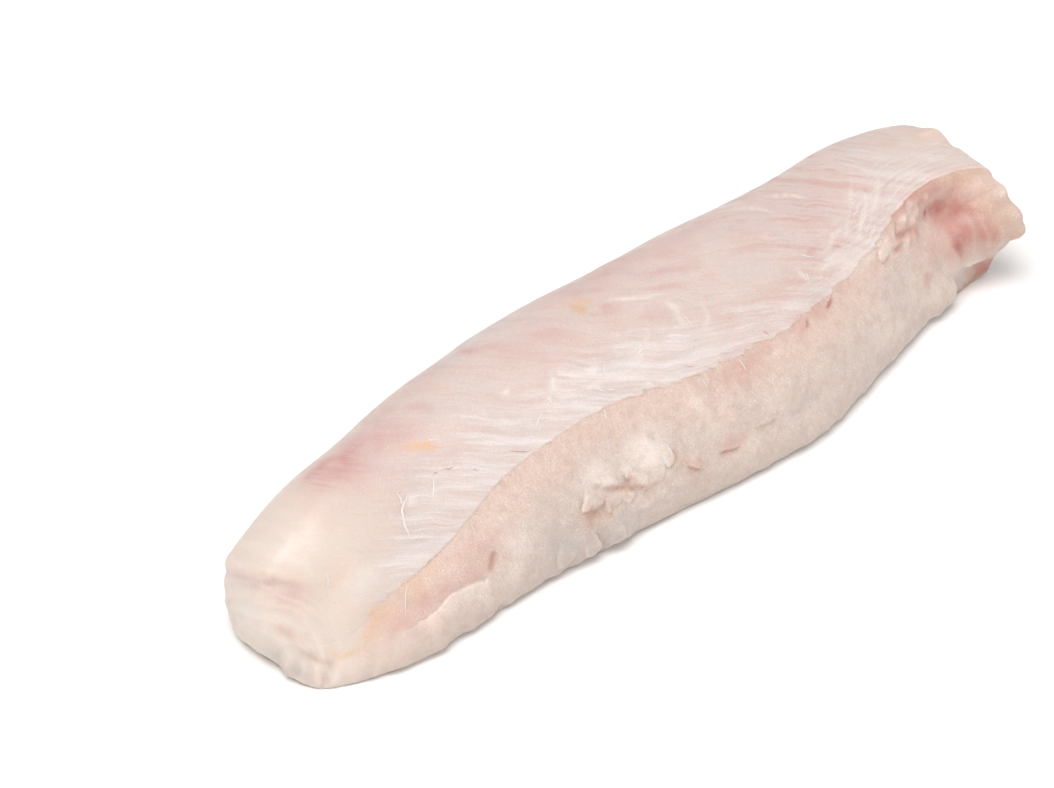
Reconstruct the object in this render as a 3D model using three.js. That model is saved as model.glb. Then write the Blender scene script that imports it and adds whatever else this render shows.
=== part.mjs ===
// A raw, skinless hake loin: the long thick strip of flesh cut from the back of the fish.
// It is one solid piece lying on its flat underside, in millimetres, with +Z up.
// +X runs from the narrow blunt end to the broad torn end. The cut side with its flakes faces -Y,
// the pearly sheath covers the top, and the rounded back faces +Y.

import * as THREE from "three";

// Driving sizes, in millimetres.
const NEAR_X = -117;
const FAR_X = 117;
const NEAR_ROUNDING = 10;
const FAR_ROUNDING = 7;
const END_BLUNTNESS = 3.6;
const CORE_HEIGHT = 11;

// Lines that carry the form, one row for each place along the length:
// x, foot y, sheath edge y, sheath edge z, crest y, crest z, back y.
const STATIONS = [
  [-117, -11, -9.5, 9, 4, 25.5, 19.5],
  [-106, -17, -11, 12, 7, 30.5, 23],
  [-96, -20.5, -10.5, 14.5, 9, 33.5, 25],
  [-77, -22.5, -10.5, 18, 10, 35.5, 28],
  [-52, -22.5, -9.5, 28, 11, 40, 30],
  [-22, -25.5, -11.5, 32, 11, 42, 31],
  [8, -29.5, -16.5, 29, 10, 41, 30.5],
  [38, -31, -17, 28.5, 9, 40, 29.5],
  [63, -25.5, -13.5, 29.5, 9, 38.5, 28.5],
  [88, -19.5, -7.5, 34.5, 10, 38, 28],
  [105, -17, -8, 34.5, 9, 36.5, 26],
  [117, -17, -11, 32, 5, 34.5, 23],
];

// Shape of a cross-section.
const WALL_LEAN = 1.7;
const FOOT_CURL = 3;
const FOOT_CURL_HEIGHT = 6;
const BACK_TUCK = 7;
const BACK_FULLNESS = 2.3;
const BACK_WAIST = 0.42;

// The near end leans back at the corner of the cut side.
const NEAR_LEAN = 0.85;
const NEAR_LEAN_RUN = 45;
const LEAN_FROM_Y = 6;
const LEAN_FULL_Y = -18;

// The far end flares into a thick rim beyond its hollow.
const RIM_RUN = 26;
const RIM_FULL_RUN = 3;
const RIM_FROM_Y = 2;
const RIM_FULL_Y = -12;
const RIM_OUT = 10;
const RIM_FORWARD = 2;
const RIM_HEIGHT = 20;
const RIM_SPREAD = 9;

// Uneven run of the knife along the sheath edge and of the torn foot: height, length over 2 pi
// and shift of each wave, and the share of the wall or sheath that follows it.
const EDGE_WAVES = [[0.35, 3.1, 0.4], [0.3, 1.7, 2.1]];
const EDGE_WAVE_REACH = 0.16;
const FOOT_WAVES = [[0.5, 5.1, 1.2], [0.4, 1.9, 0.3]];
const FOOT_WAVE_REACH = 0.25;

// Slow unevenness of the whole surface: height, length over 2 pi and slant of its waves.
const SURFACE_WAVE = 0.3;
const SURFACE_WAVE_LENGTH = 7;
const SURFACE_WAVE_SLANT = 0.5;

// Relief stays above the flat underside.
const RELIEF_FLOOR = 0.4;
const RELIEF_FULL = 3;

// Look of the flesh.
const FLESH_COLOUR = 0xead7ca;
const FLESH_ROUGHNESS = 0.42;

// Fineness of the faces: the stretches along X with torn flesh take shorter strides.
const TORN_STRETCHES = [[-70, -58], [-43, 11], [73, 112]];
const TORN_STRIDE = 1.75;
const SMOOTH_STRIDE = 2.9;
const END_STEPS = 7;
const WALL_STEPS = 18;
const SHEATH_STEPS = 13;
const BACK_STEPS = 13;
const UNDERSIDE_STEPS = 6;
const TRACE_STEPS = 48;

// Flakes and swellings: where, how far they reach along X, Y and Z, how far they rise
// (a dip is negative), and the share of the reach that is level before it falls away.
const TORN_FLAKES = [
  { at: [-18.5, -20.5, 18], reach: [8.5, 8, 6], rise: 4, level: 0.5 },
  { at: [-11.5, -21.8, 16.5], reach: [3.4, 6, 4.4], rise: 2.4, level: 0.4 },
  { at: [-26.5, -19.6, 17.5], reach: [4.4, 6, 4.6], rise: 2.8, level: 0.4 },
  { at: [-22, -21, 14.8], reach: [3.8, 5, 2.8], rise: 1.6, level: 0.3 },
  { at: [-33, -18.2, 19.5], reach: [4.4, 6, 4.2], rise: 2.2, level: 0.3 },
  { at: [-36.2, -19.2, 15.6], reach: [2.8, 5, 3.8], rise: 2.2, level: 0.4 },
  { at: [-30.8, -20.2, 13.8], reach: [4.2, 5, 2.6], rise: 1.8, level: 0.4 },
  { at: [-41.5, -20.5, 8.5], reach: [4.2, 6, 5.5], rise: 1.6, level: 0.2 },
  { at: [-34.5, -22.5, 5.5], reach: [4.6, 6, 4.5], rise: 1.8, level: 0.2 },
];
const WALL_SWELLINGS = [
  { at: [-52, -19, 14], reach: [13, 12, 14], rise: 1.4, level: 0 },
  { at: [6, -26, 18], reach: [16, 12, 8], rise: 1.2, level: 0 },
  { at: [-3, -23, 21], reach: [9, 9, 6], rise: 0.9, level: 0 },
  { at: [-22, -23.5, 6], reach: [12, 9, 5], rise: 1.2, level: 0 },
  { at: [-88, -20, 4.5], reach: [26, 10, 7], rise: 1.8, level: 0 },
];
const NEAR_END_SWELLINGS = [
  { at: [-107, -9, 13], reach: [9, 9, 9], rise: 1.4, level: 0 },
  { at: [-116, 3, 13], reach: [8, 13, 7.5], rise: 1.2, level: 0 },
];
const FAR_HOLLOW = [
  { at: [98, -12, 26], reach: [15, 12, 9], rise: -3.2, level: 0 },
  { at: [103, -15, 17], reach: [9, 10, 8], rise: -2.4, level: 0 },
  { at: [95, -13, 22.5], reach: [6, 8, 5], rise: 2.2, level: 0.1 },
  { at: [84.5, -10.6, 29.8], reach: [3.6, 6, 3.4], rise: 2.2, level: 0.3 },
  { at: [88.5, -11.5, 27.6], reach: [3.2, 6, 3], rise: 1.8, level: 0.3 },
  { at: [75.5, -12.6, 28], reach: [3, 6, 3], rise: 1.5, level: 0.3 },
  { at: [80.5, -13, 25.2], reach: [3.2, 6, 3], rise: 1.5, level: 0.3 },
  { at: [91.5, -9.5, 31.2], reach: [2.6, 6, 2.4], rise: 1.3, level: 0.3 },
  { at: [79.5, -10.8, 30.6], reach: [2.8, 6, 2.4], rise: 1.3, level: 0.3 },
  { at: [85.5, -13.2, 24.2], reach: [3.4, 6, 2.8], rise: 1.2, level: 0.3 },
  { at: [92, -18, 6], reach: [7, 8, 8], rise: 2.2, level: 0.2 },
  { at: [106, -16, 7], reach: [10, 9, 8], rise: -2, level: 0.1 },
];
const SWELLINGS = [...TORN_FLAKES, ...WALL_SWELLINGS, ...NEAR_END_SWELLINGS, ...FAR_HOLLOW];

// Creases: the line that they follow, half width, and depth where the line starts and ends.
const CREASES = [
  // Pocket in the cut side and the fold that runs from it to the near end.
  { line: [[-62.5, -16.2, 15.8], [-66.5, -17.9, 12.6]], width: 2.2, depth: [4.6, 3.6] },
  {
    line: [[-66.5, -17.9, 12.6], [-71, -18.2, 11.4], [-78, -17, 11.6], [-88, -17.6, 9], [-101, -15.5, 7]],
    width: 2.4,
    depth: [2.6, 0.6],
  },
  // Crevices under the torn flakes.
  {
    line: [[-38, -18.4, 17.6], [-30, -19.4, 16.6], [-25, -20.8, 14.2], [-20, -22, 12.2], [-12, -23.4, 10.6]],
    width: 1.7,
    depth: [1.4, 1.2],
  },
  { line: [[-39.5, -19.7, 13], [-34.5, -21, 11.2], [-28, -22, 10]], width: 2, depth: [2.2, 1.2] },
  { line: [[-9.5, -23.8, 11.8], [-3, -25.3, 9.8]], width: 1.8, depth: [1.7, 0.8] },
  { line: [[-0.5, -24.9, 12.4], [9.5, -26.3, 11]], width: 1.8, depth: [1.7, 1.2] },
  { line: [[14, -26.2, 12.6], [20, -26.8, 12.2]], width: 1.6, depth: [0.9, 0.5] },
  // Nicks through the sheath edge.
  { line: [[49.5, -16, 28.4], [46.5, -18, 26]], width: 1.5, depth: [1.7, 0.6] },
  { line: [[40, -17.3, 28.2], [38, -19.1, 25.8]], width: 1.5, depth: [1.5, 0.6] },
  // Creases and foot notch of the far hollow.
  { line: [[82, -11.6, 28.2], [87.5, -12.4, 26.2]], width: 1.4, depth: [1.3, 1] },
  { line: [[76, -13.6, 25.8], [81, -12.4, 27.8]], width: 1.4, depth: [1, 1] },
  { line: [[101, -15.4, 19.6], [100, -16.6, 15]], width: 1.6, depth: [1.6, 0.8] },
  { line: [[97.5, -17, 8], [97, -17, 0.5]], width: 1.7, depth: [2, 2.6] },
  // Crease across the near end face.
  {
    line: [[-117, 19, 18], [-115, 13, 19.8], [-112, 5, 23.5], [-110, 1.5, 24.2], [-106.7, -2.4, 21.7],
      [-103, -5.5, 19.2]],
    width: 2.4,
    depth: [2.6, 0.4],
  },
  // Fold of the sheath on the shoulder of the back.
  { line: [[-86, 19.5, 31.6], [-79, 17.5, 33.6]], width: 1.8, depth: [1.3, 0.9] },
];

// Rises from 0 to 1 as value goes from start to end, level at both.
function ease(start, end, value) {
  return THREE.MathUtils.smoothstep((value - start) / (end - start), 0, 1);
}

// Sum of sine waves.
function waves(list, x) {
  return list.reduce((sum, [height, length, shift]) => sum + height * Math.sin(x / length + shift), 0);
}

const stationCurve = new THREE.CubicInterpolant(
  STATIONS.map((row) => row[0]),
  STATIONS.flatMap((row) => row.slice(1)),
  STATIONS[0].length - 1,
);

// Points spread evenly along a traced line, without the last one, where the next stretch starts.
function spread(line, steps) {
  const run = [0];
  for (let i = 1; i < line.length; i += 1) {
    run.push(run[i - 1] + line[i].distanceTo(line[i - 1]));
  }
  const points = [];
  let i = 1;
  for (let step = 0; step < steps; step += 1) {
    const goal = (run[run.length - 1] * step) / steps;
    while (run[i] < goal) {
      i += 1;
    }
    const share = (goal - run[i - 1]) / (run[i] - run[i - 1]);
    points.push(line[i - 1].clone().lerp(line[i], share));
  }
  return points;
}

// A finely traced line, from the rule that gives its point at each share of its length.
function trace(rule) {
  return Array.from({ length: TRACE_STEPS + 1 }, (_, i) => new THREE.Vector2(...rule(i / TRACE_STEPS)));
}

// One closed cross-section in the YZ plane: cut wall, sheath, back and underside.
function crossSection(x) {
  const [footY, edgeY, edgeZ, crestY, crestZ, backY] = stationCurve.evaluate(x);
  const footWave = waves(FOOT_WAVES, x);
  const edgeWave = waves(EDGE_WAVES, x);
  const waistZ = BACK_WAIST * crestZ;
  const wall = trace((t) => {
    const curl = FOOT_CURL * Math.max(0, 1 - (edgeZ * t) / FOOT_CURL_HEIGHT) ** 2;
    const y = footY + (edgeY - footY) * t ** WALL_LEAN + curl;
    return [
      y + footWave * (1 - ease(0, FOOT_WAVE_REACH, t)),
      edgeZ * t + edgeWave * ease(1 - EDGE_WAVE_REACH, 1, t),
    ];
  });
  const sheath = trace((t) => {
    const z = edgeZ + (crestZ - edgeZ) * (1 - (1 - t) ** 2);
    return [edgeY + (crestY - edgeY) * t, z + edgeWave * (1 - ease(0, EDGE_WAVE_REACH, t))];
  });
  const shoulder = trace((t) => {
    const turn = (t * Math.PI) / 2;
    const out = Math.sin(turn) ** (2 / BACK_FULLNESS);
    const up = Math.cos(turn) ** (2 / BACK_FULLNESS);
    return [crestY + (backY - crestY) * out, waistZ + (crestZ - waistZ) * up];
  });
  const flank = trace((t) => {
    const turn = (t * Math.PI) / 2;
    return [backY - BACK_TUCK * (1 - Math.cos(turn)), waistZ * (1 - Math.sin(turn))];
  });
  const foot = wall[0].x;
  const underside = trace((t) => [THREE.MathUtils.lerp(backY - BACK_TUCK, foot, t), 0]);
  return [
    ...spread(wall, WALL_STEPS),
    ...spread(sheath, SHEATH_STEPS),
    ...spread([...shoulder, ...flank.slice(1)], BACK_STEPS),
    ...spread(underside, UNDERSIDE_STEPS),
  ];
}

// Places along the length, each with the share of the full cross-section that it keeps.
function placesAlong() {
  const places = [];
  for (let step = 1; step < END_STEPS; step += 1) {
    const share = Math.sin((step / END_STEPS) * (Math.PI / 2));
    const inset = 1 - (1 - share ** END_BLUNTNESS) ** (1 / END_BLUNTNESS);
    places.push({ x: NEAR_X + NEAR_ROUNDING * inset, share });
    places.push({ x: FAR_X - FAR_ROUNDING * inset, share });
  }
  let x = NEAR_X + NEAR_ROUNDING;
  while (x < FAR_X - FAR_ROUNDING) {
    places.push({ x, share: 1 });
    x += strideAt(x);
  }
  return places.sort((a, b) => a.x - b.x);
}

function strideAt(x) {
  const torn = TORN_STRETCHES.some(([start, end]) => x > start && x < end);
  return torn ? TORN_STRIDE : SMOOTH_STRIDE;
}

// Leans the near corner back and pushes the far rim out.
function bendEnds(point) {
  const { x, y, z } = point;
  const near = 1 - ease(NEAR_X, NEAR_X + NEAR_LEAN_RUN, x);
  const far = ease(FAR_X - RIM_RUN, FAR_X - RIM_FULL_RUN, x);
  const cutSide = ease(RIM_FROM_Y, RIM_FULL_Y, y);
  const rim = far * Math.exp(-(((z - RIM_HEIGHT) / RIM_SPREAD) ** 2)) * cutSide;
  point.x += near * NEAR_LEAN * z * ease(LEAN_FROM_Y, LEAN_FULL_Y, y) + rim * RIM_FORWARD;
  point.y -= rim * RIM_OUT;
  return point;
}

// Rings of points from the near end to the far end.
function loftRings() {
  return placesAlong().map(({ x, share }) => {
    const section = crossSection(x);
    const middle = new THREE.Box2().setFromPoints(section).getCenter(new THREE.Vector2());
    const core = new THREE.Vector2(middle.x, CORE_HEIGHT);
    return section.map((point) => {
      const { x: y, y: z } = core.clone().lerp(point, share);
      return bendEnds(new THREE.Vector3(x, y, z));
    });
  });
}

function swellingHeight(point, { at, reach, rise, level }) {
  const away = new THREE.Vector3(...at).sub(point).divide(new THREE.Vector3(...reach)).length();
  return rise * (1 - ease(level, 1, away));
}

function creaseHeight(point, { line, width, depth }) {
  const knots = line.map((knot) => new THREE.Vector3(...knot));
  const spans = knots.slice(1).map((knot, i) => new THREE.Line3(knots[i], knot));
  const whole = spans.reduce((sum, span) => sum + span.distance(), 0);
  let before = 0;
  let nearest = Infinity;
  let share = 0;
  for (const span of spans) {
    const along = span.closestPointToPointParameter(point, true);
    const away = span.at(along, new THREE.Vector3()).distanceTo(point);
    if (away < nearest) {
      nearest = away;
      share = (before + along * span.distance()) / whole;
    }
    before += span.distance();
  }
  return -THREE.MathUtils.lerp(depth[0], depth[1], share) * Math.exp(-((nearest / width) ** 2));
}

// How far the surface stands out at a point of the plain form.
function reliefHeight(point) {
  const { x, y, z } = point;
  const alongWave = Math.sin((x + SURFACE_WAVE_SLANT * y) / SURFACE_WAVE_LENGTH);
  const upWave = Math.cos((z - y) / SURFACE_WAVE_LENGTH);
  let height = SURFACE_WAVE * alongWave * upWave;
  for (const swelling of SWELLINGS) {
    height += swellingHeight(point, swelling);
  }
  for (const crease of CREASES) {
    height += creaseHeight(point, crease);
  }
  return height * ease(RELIEF_FLOOR, RELIEF_FULL, z);
}

// Outward direction of the plain form at one point of a ring.
function outwardAt(rings, row, column) {
  const count = rings[row].length;
  const ahead = rings[Math.min(row + 1, rings.length - 1)][column];
  const behind = rings[Math.max(row - 1, 0)][column];
  const next = rings[row][(column + 1) % count];
  const last = rings[row][(column + count - 1) % count];
  const around = next.clone().sub(last);
  return ahead.clone().sub(behind).cross(around).normalize();
}

// Closed surface over the rings, each end drawn together in one point.
function closedSurface(rings) {
  const around = rings[0].length;
  const poles = [rings[0], rings[rings.length - 1]].map((ring) => {
    return ring.reduce((sum, point) => sum.add(point), new THREE.Vector3()).divideScalar(around);
  });
  const points = [...rings.flat(), ...poles];
  const nearPole = points.length - 2;
  const farPole = points.length - 1;
  const lastRing = (rings.length - 1) * around;
  const faces = [];
  for (let column = 0; column < around; column += 1) {
    const beside = (column + 1) % around;
    for (let row = 0; row < rings.length - 1; row += 1) {
      const a = row * around + column;
      const b = row * around + beside;
      faces.push(a, b + around, b, a, a + around, b + around);
    }
    faces.push(nearPole, column, beside);
    faces.push(farPole, lastRing + beside, lastRing + column);
  }
  const geometry = new THREE.BufferGeometry().setFromPoints(points);
  geometry.setIndex(faces);
  geometry.computeVertexNormals();
  return geometry;
}

function makeLoin() {
  const plain = loftRings();
  const rings = plain.map((ring, row) => ring.map((point, column) => {
    const outward = outwardAt(plain, row, column);
    return point.clone().addScaledVector(outward, reliefHeight(point));
  }));
  const flesh = new THREE.MeshStandardMaterial({
    color: FLESH_COLOUR,
    roughness: FLESH_ROUGHNESS,
    metalness: 0,
  });
  const loin = new THREE.Mesh(closedSurface(rings), flesh);
  loin.name = "loin";
  return loin;
}

const hakeLoin = new THREE.Group();
hakeLoin.add(makeLoin());

export default hakeLoin;
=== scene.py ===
"""A raw, skinless hake loin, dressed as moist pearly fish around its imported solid.

Sizes are millimetres in the solid's own frame: +X from the blunt end to the hollowed end, -Y the cut side,
+Z up. They become metres where a mesh, a lamp or the camera is made.
"""

import logging
import math
from dataclasses import astuple, dataclass
from enum import Enum, IntEnum
from typing import Any, NamedTuple, TypeVar

import bpy
import numpy as np
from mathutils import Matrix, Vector


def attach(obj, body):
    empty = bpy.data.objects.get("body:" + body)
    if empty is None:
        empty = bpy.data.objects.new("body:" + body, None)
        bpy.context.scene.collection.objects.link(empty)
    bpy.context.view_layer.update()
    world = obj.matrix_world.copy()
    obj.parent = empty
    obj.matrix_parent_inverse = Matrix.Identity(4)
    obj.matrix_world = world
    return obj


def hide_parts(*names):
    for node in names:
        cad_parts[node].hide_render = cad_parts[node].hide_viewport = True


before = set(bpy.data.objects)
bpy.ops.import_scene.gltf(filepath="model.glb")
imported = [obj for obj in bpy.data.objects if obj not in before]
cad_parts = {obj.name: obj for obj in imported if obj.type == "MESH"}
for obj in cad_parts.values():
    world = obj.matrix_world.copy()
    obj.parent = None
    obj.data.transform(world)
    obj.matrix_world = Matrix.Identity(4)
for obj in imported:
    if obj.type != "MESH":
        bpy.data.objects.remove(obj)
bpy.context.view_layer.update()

Point = tuple[float, float, float]
Pair = tuple[float, float]
Line = tuple[Point, ...]
Colour = tuple[float, float, float, float]
Kind = TypeVar("Kind")
log = logging.getLogger("hake_loin")

MM = 0.001
BODY = "root"
NODE = "loin"
# A nick lies deeper than a thread, in shares of its radius
NICK_LIFT = -0.75
# Directions of the muscle fibres along the sheath and across it
FIBRE_ALONG = (0.72, -0.69, 0.0)
FIBRE_ACROSS = (0.44, 0.45, 0.78)
# Widths from a line, and reaches from a stain, where a soft edge has faded out
FADED = 3.0
STAIN_FADED = 2.0
# Lengths and shares that count as nought
TINY = 1e-6
NO_LENGTH = 1e-9
# Middle of a noise that goes from 0 to 1, and the way a value rises without corners
NOISE_MIDDLE = 0.5
SMOOTH = {"interpolation_type": "SMOOTHSTEP"}


class Stretch(Enum):
    """The stretches of a cross-section, in the order in which its ring runs."""

    WALL = "cut_wall"
    SHEATH = "pearly_sheath"
    BACK = "smooth_back"
    UNDERSIDE = "flat_underside"


class Tint(Enum):
    """Stains of the flesh, each kept as an attribute of the mesh."""

    # bruise pink, and painted pink shade in the fold under the blunt end's lip
    BLUSH = "blush"
    # warm pink of the flesh, and painted shadow under the overhanging sheath edge over the hollow
    SALMON = "salmon"
    BLOOD = "blood"
    AMBER = "amber"
    # white tissue, and painted highlight on the lip, on flaps and edges and as glints
    CHALK = "chalk"
    # grey translucent flesh, and painted shade beside the clump
    GLASSY = "glassy"
    # painted shade in cracks, furrows, recesses and the gutters round lobes
    CREVICE = "crevice"


class Mark(Enum):
    """Places on the surface, each kept as an attribute of the mesh."""

    ACROSS = "across_mm"
    UP = "up_mm"
    ALONG = "along_mm"
    MEMBRANE = "membrane_mm"
    SHEATHED = "sheathed"
    FIBRE = "fibre"


class Part(IntEnum):
    """Parts of the lattice of unevenness, in bumps from its corner, so that no two reliefs run alike."""

    FIRST = 0
    WAVE = 3
    FINE_WARP = 4
    WARP = 5
    TORN = 7
    FIBRE = 9
    FOOT = 11
    BROKEN = 13


@dataclass(frozen=True)
class Station:
    """The lines that carry the form, at one place along the length."""

    x: float
    foot_y: float
    edge_y: float
    edge_z: float
    crest_y: float
    crest_z: float
    back_y: float


@dataclass(frozen=True)
class Swelling:
    """A rounded rise of the flesh, or a dip where the rise is negative."""

    at: Point
    reach: Point
    rise: float
    level: float = 0.0


@dataclass(frozen=True)
class Crease:
    """A furrow along a line: its half width, its depth at both ends and how much painted shade darkens its
    bottom.
    """

    line: Line
    width: float
    start: float
    end: float
    shade: float


@dataclass(frozen=True)
class Rim:
    """A torn rim: walking its line as seen from outside, the flesh stands proud on the left hand."""

    line: Line
    rise: float
    back: float
    dip: float
    front: float
    # share of painted highlight on the proud side of the rim
    pale_and_highlight: float
    # share of painted shade in front of the rim
    shade: float
    start: float = 0.3
    end: float = 0.4
    soft: float = 0.25


@dataclass(frozen=True)
class Lobe:
    """A torn tongue of flesh that grows out of the surface along a line, round across, with painted highlight
    round its edge near the tip.
    """

    line: Line
    radius: float
    rise: float
    # share of painted highlight round the lobe's edge
    pale_and_highlight: float = 0.5
    root: float = 0.7


@dataclass(frozen=True)
class Thread:
    """A fine line lying on the surface, such as a white thread of skin tissue or a red nick."""

    line: Line
    radius: float


@dataclass(frozen=True)
class Stain:
    """A soft patch of a tint round a point."""

    at: Point
    reach: Point
    strength: float


@dataclass(frozen=True)
class Streak:
    """A soft line of a tint, fading out at both ends."""

    line: Line
    width: float
    strength: float


def rows(kind: type[Kind], *entries: tuple[Any, ...]) -> tuple[Kind, ...]:
    """Makes one thing of a kind from each row of its values."""
    return tuple(kind(*entry) for entry in entries)


LONG_CUT: Line = ((50.5, -16.5, 27.5), (49, -17, 27), (47, -17.7, 26.7))
SHORT_CUT: Line = ((40, -17.5, 27.5), (39.5, -18.5, 26.5), (38.5, -19, 26))
RED_CLEFT: Line = ((94, -10.5, 28.5), (93.5, -11.5, 27))
RED_FOLD: Line = ((80.5, -10.5, 30.5), (79.5, -11.5, 28.5), (81.5, -12, 28), (85.5, -11.5, 27.5))
FAR_FOLD: Line = ((80.5, -13, 26), (76.5, -13.5, 26.5))
SCRATCH: Line = ((-11.5, 14.5, 41.5), (-11, 10.5, 42), (-11, 8, 42))
STRAY_WISP: Line = ((-34.5, -3.5, 37), (-34.5, -5.5, 35.5))

STATIONS = rows(
    Station,
    (-117, -11, -9.5, 9, 4, 25.5, 19.5),
    (-106, -17, -11, 12, 7, 30.5, 23),
    (-96, -20.5, -10.5, 14.5, 9, 33.5, 25),
    (-77, -22.5, -10.5, 18, 10, 35.5, 28),
    (-52, -22.5, -9.5, 28, 11, 40, 30),
    (-22, -25.5, -11.5, 32, 11, 42, 31),
    (8, -29.5, -16.5, 29, 10, 41, 30.5),
    (38, -31, -17, 28.5, 9, 40, 29.5),
    (63, -25.5, -13.5, 29.5, 9, 38.5, 28.5),
    (88, -19.5, -7.5, 34.5, 10, 38, 28),
    (105, -17, -8, 34.5, 9, 36.5, 26),
    (117, -17, -11, 32, 5, 34.5, 23),
)

SWELLINGS = rows(
    Swelling,
    ((-18, -21, 17), (11, 9, 8), 1.6),
    ((-31, -18.5, 18), (8, 7, 7), 1.2),
    ((-31, -23, 6), (8, 6, 6), 1.3),
    ((-41, -21.5, 6), (6, 6, 6), 0.9),
    ((-45, -19.5, 10), (6, 7, 9), -0.9),
    ((-34.5, -21.5, 12), (5, 3.5, 2.6), -0.8),
    ((-25.5, -21, 15.5), (3, 3, 2.6), -0.5),
    ((-23, -23, 8.5), (7, 6, 4), 0.6),
    ((-56, -18, 15), (11, 12, 13), 1.5),
    ((0, -19.5, 23), (6, 7, 5), 0.8),
    ((5, -20.5, 22), (4, 7, 6), -0.5),
    ((8, -26, 18), (12, 12, 7), 1.0),
    ((22, -27, 16), (12, 10, 6), 0.8),
    ((30, -27.5, 12), (9, 8, 4), -0.7),
    ((45, -24, 20), (14, 12, 9), 0.7),
    ((62, -20, 16), (12, 12, 10), 0.8),
    ((-88, -20, 4.5), (26, 10, 7), 1.2),
    ((-91, -13, 12.5), (8, 6, 4), -0.7),
    ((-103, -9, 14), (7, 8, 9), 1.0),
    ((-116, 3, 13), (8, 13, 7.5), 1.1),
    ((-114, -3.5, 5), (3, 4, 4.5), 0.7),
    ((-111.5, -9, 4.5), (3.5, 3, 4), 0.7),
    ((98, -12, 26), (15, 12, 9), -3.2),
    ((103, -15, 17), (9, 10, 8), -2.0),
    ((94, -13, 23), (6, 8, 5), 1.2, 0.1),
    ((92, -18, 6), (7, 8, 8), 1.2, 0.2),
    ((106, -16, 7), (10, 9, 8), -1.3, 0.1),
    ((94, -9, 31.5), (1.8, 1.8, 1.8), 0.6),
    ((84.5, -8.2, 33.6), (2.2, 2.2, 2.2), 0.5),
    ((87.8, -8.5, 32.7), (2, 2, 2), 0.5),
    ((84, -10, 31), (2.3, 2.3, 2.3), 0.9),
    ((87.5, -11, 28.5), (2.2, 2.2, 2.2), 0.7),
    ((90, -10, 30), (2.4, 2.4, 2.4), 0.6),
    ((83, -12.5, 26), (2.6, 2.6, 2.6), 0.6),
    ((87, -12.5, 25.5), (2.2, 2.2, 2.2), 0.5),
    ((68.5, -13.5, 28.5), (2, 2, 2), 0.4),
    ((72.5, -12, 29.5), (1.8, 1.8, 1.8), 0.4),
    ((89, -15, 18), (6, 6, 5), 0.7, 0.1),
    ((113, 5.5, 35), (6, 5, 5), 1.3),
    ((112.5, 0, 35), (4, 2.5, 4), -1.2),
    ((116, -15.5, 27), (3.5, 3.5, 3), 0.9),
    ((114.5, -18.5, 25), (3, 2.5, 2.5), -0.6),
    ((115.5, -22, 22.5), (4, 4, 3), 0.8),
    ((115.5, -23.5, 18), (4, 4, 3.5), 1.0),
    ((113, -22, 14), (4, 4, 2.5), -1.2),
    ((108, -16.5, 26.5), (5, 4, 2.5), 0.7),
)

# the last number of each furrow is the share of painted shade at its bottom
CREASES = rows(
    Crease,
    (((-64, -17, 14.5), (-65.5, -18, 12.5)), 0.8, 0.55, 0.4, 0.9),
    (LONG_CUT, 0.5, 0.35, 0.15, 0.1),
    (SHORT_CUT, 0.5, 0.35, 0.15, 0.1),
    (RED_CLEFT, 0.7, 0.5, 0.4, 0.2),
    (RED_FOLD, 0.9, 0.6, 0.5, 0.1),
    (FAR_FOLD, 0.8, 0.5, 0.3, 0.3),
    (((100, -16.5, 20), (100, -17.5, 16.5), (101, -17.5, 13.5)), 0.9, 0.8, 0.5, 0.15),
    (((-112.5, -6, 8.5), (-111, -9, 7), (-109, -11, 6)), 1.0, 0.3, 0.3, 0.25),
)

# the sixth value of each rim is painted highlight on its proud side, the seventh painted shade in front of it
RIMS = rows(
    Rim,
    (
        ((-112, 19, 17), (-115, 14.5, 20.5), (-115, 7.5, 24), (-112.5, 2, 25),
         (-109.5, -0.5, 23.5), (-107, -3, 22), (-105, -5, 19.5)),
        0.75, 9, 0.7, 7, 0.3, 0.0, 0.05, 0.5, 1.8,
    ),
    (
        ((-67, -18.5, 11), (-72, -18, 11), (-77, -17, 11.5),
         (-82, -17.5, 10), (-88, -17, 9), (-94.5, -16.5, 7.5)),
        0.45, 8, 0.35, 6, 0.5, 0.0, 0.05, 0.5,
    ),
    (((0, -25.5, 12.5), (3.5, -26, 12.5), (8.5, -27, 11.5)), 0.3, 5, 0.35, 4, 0.1, 0.6),
    (((-9, -24, 14), (-7, -25, 12), (-3, -26, 10)), 0.25, 4, 0.3, 4, 0.1, 0.5),
    (((13.5, -26, 13.5), (17, -26.5, 12.5), (21, -26.5, 13)), 0.3, 6, 0.2, 4, 0.05, 0.15),
    (((-36, -21.5, 1.5), (-36, -22.5, 5.5), (-36.5, -21, 9.5)), 0.5, 6, 0.5, 4, 0.2, 0.3, 0.0),
    (((100, -17, 11), (104, -17.5, 9), (108.5, -18, 8), (113, -18.5, 9.5)), 0.4, 4, 0.5, 4, 0.9, 0.2),
    (((98, -16, 0.5), (97, -17, 5.5), (96.5, -16.5, 10.5)), 0.9, 6, 1.0, 5, 0.3, 0.3, 0.0),
)

# the fourth value of each lobe is painted highlight round its edge
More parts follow.
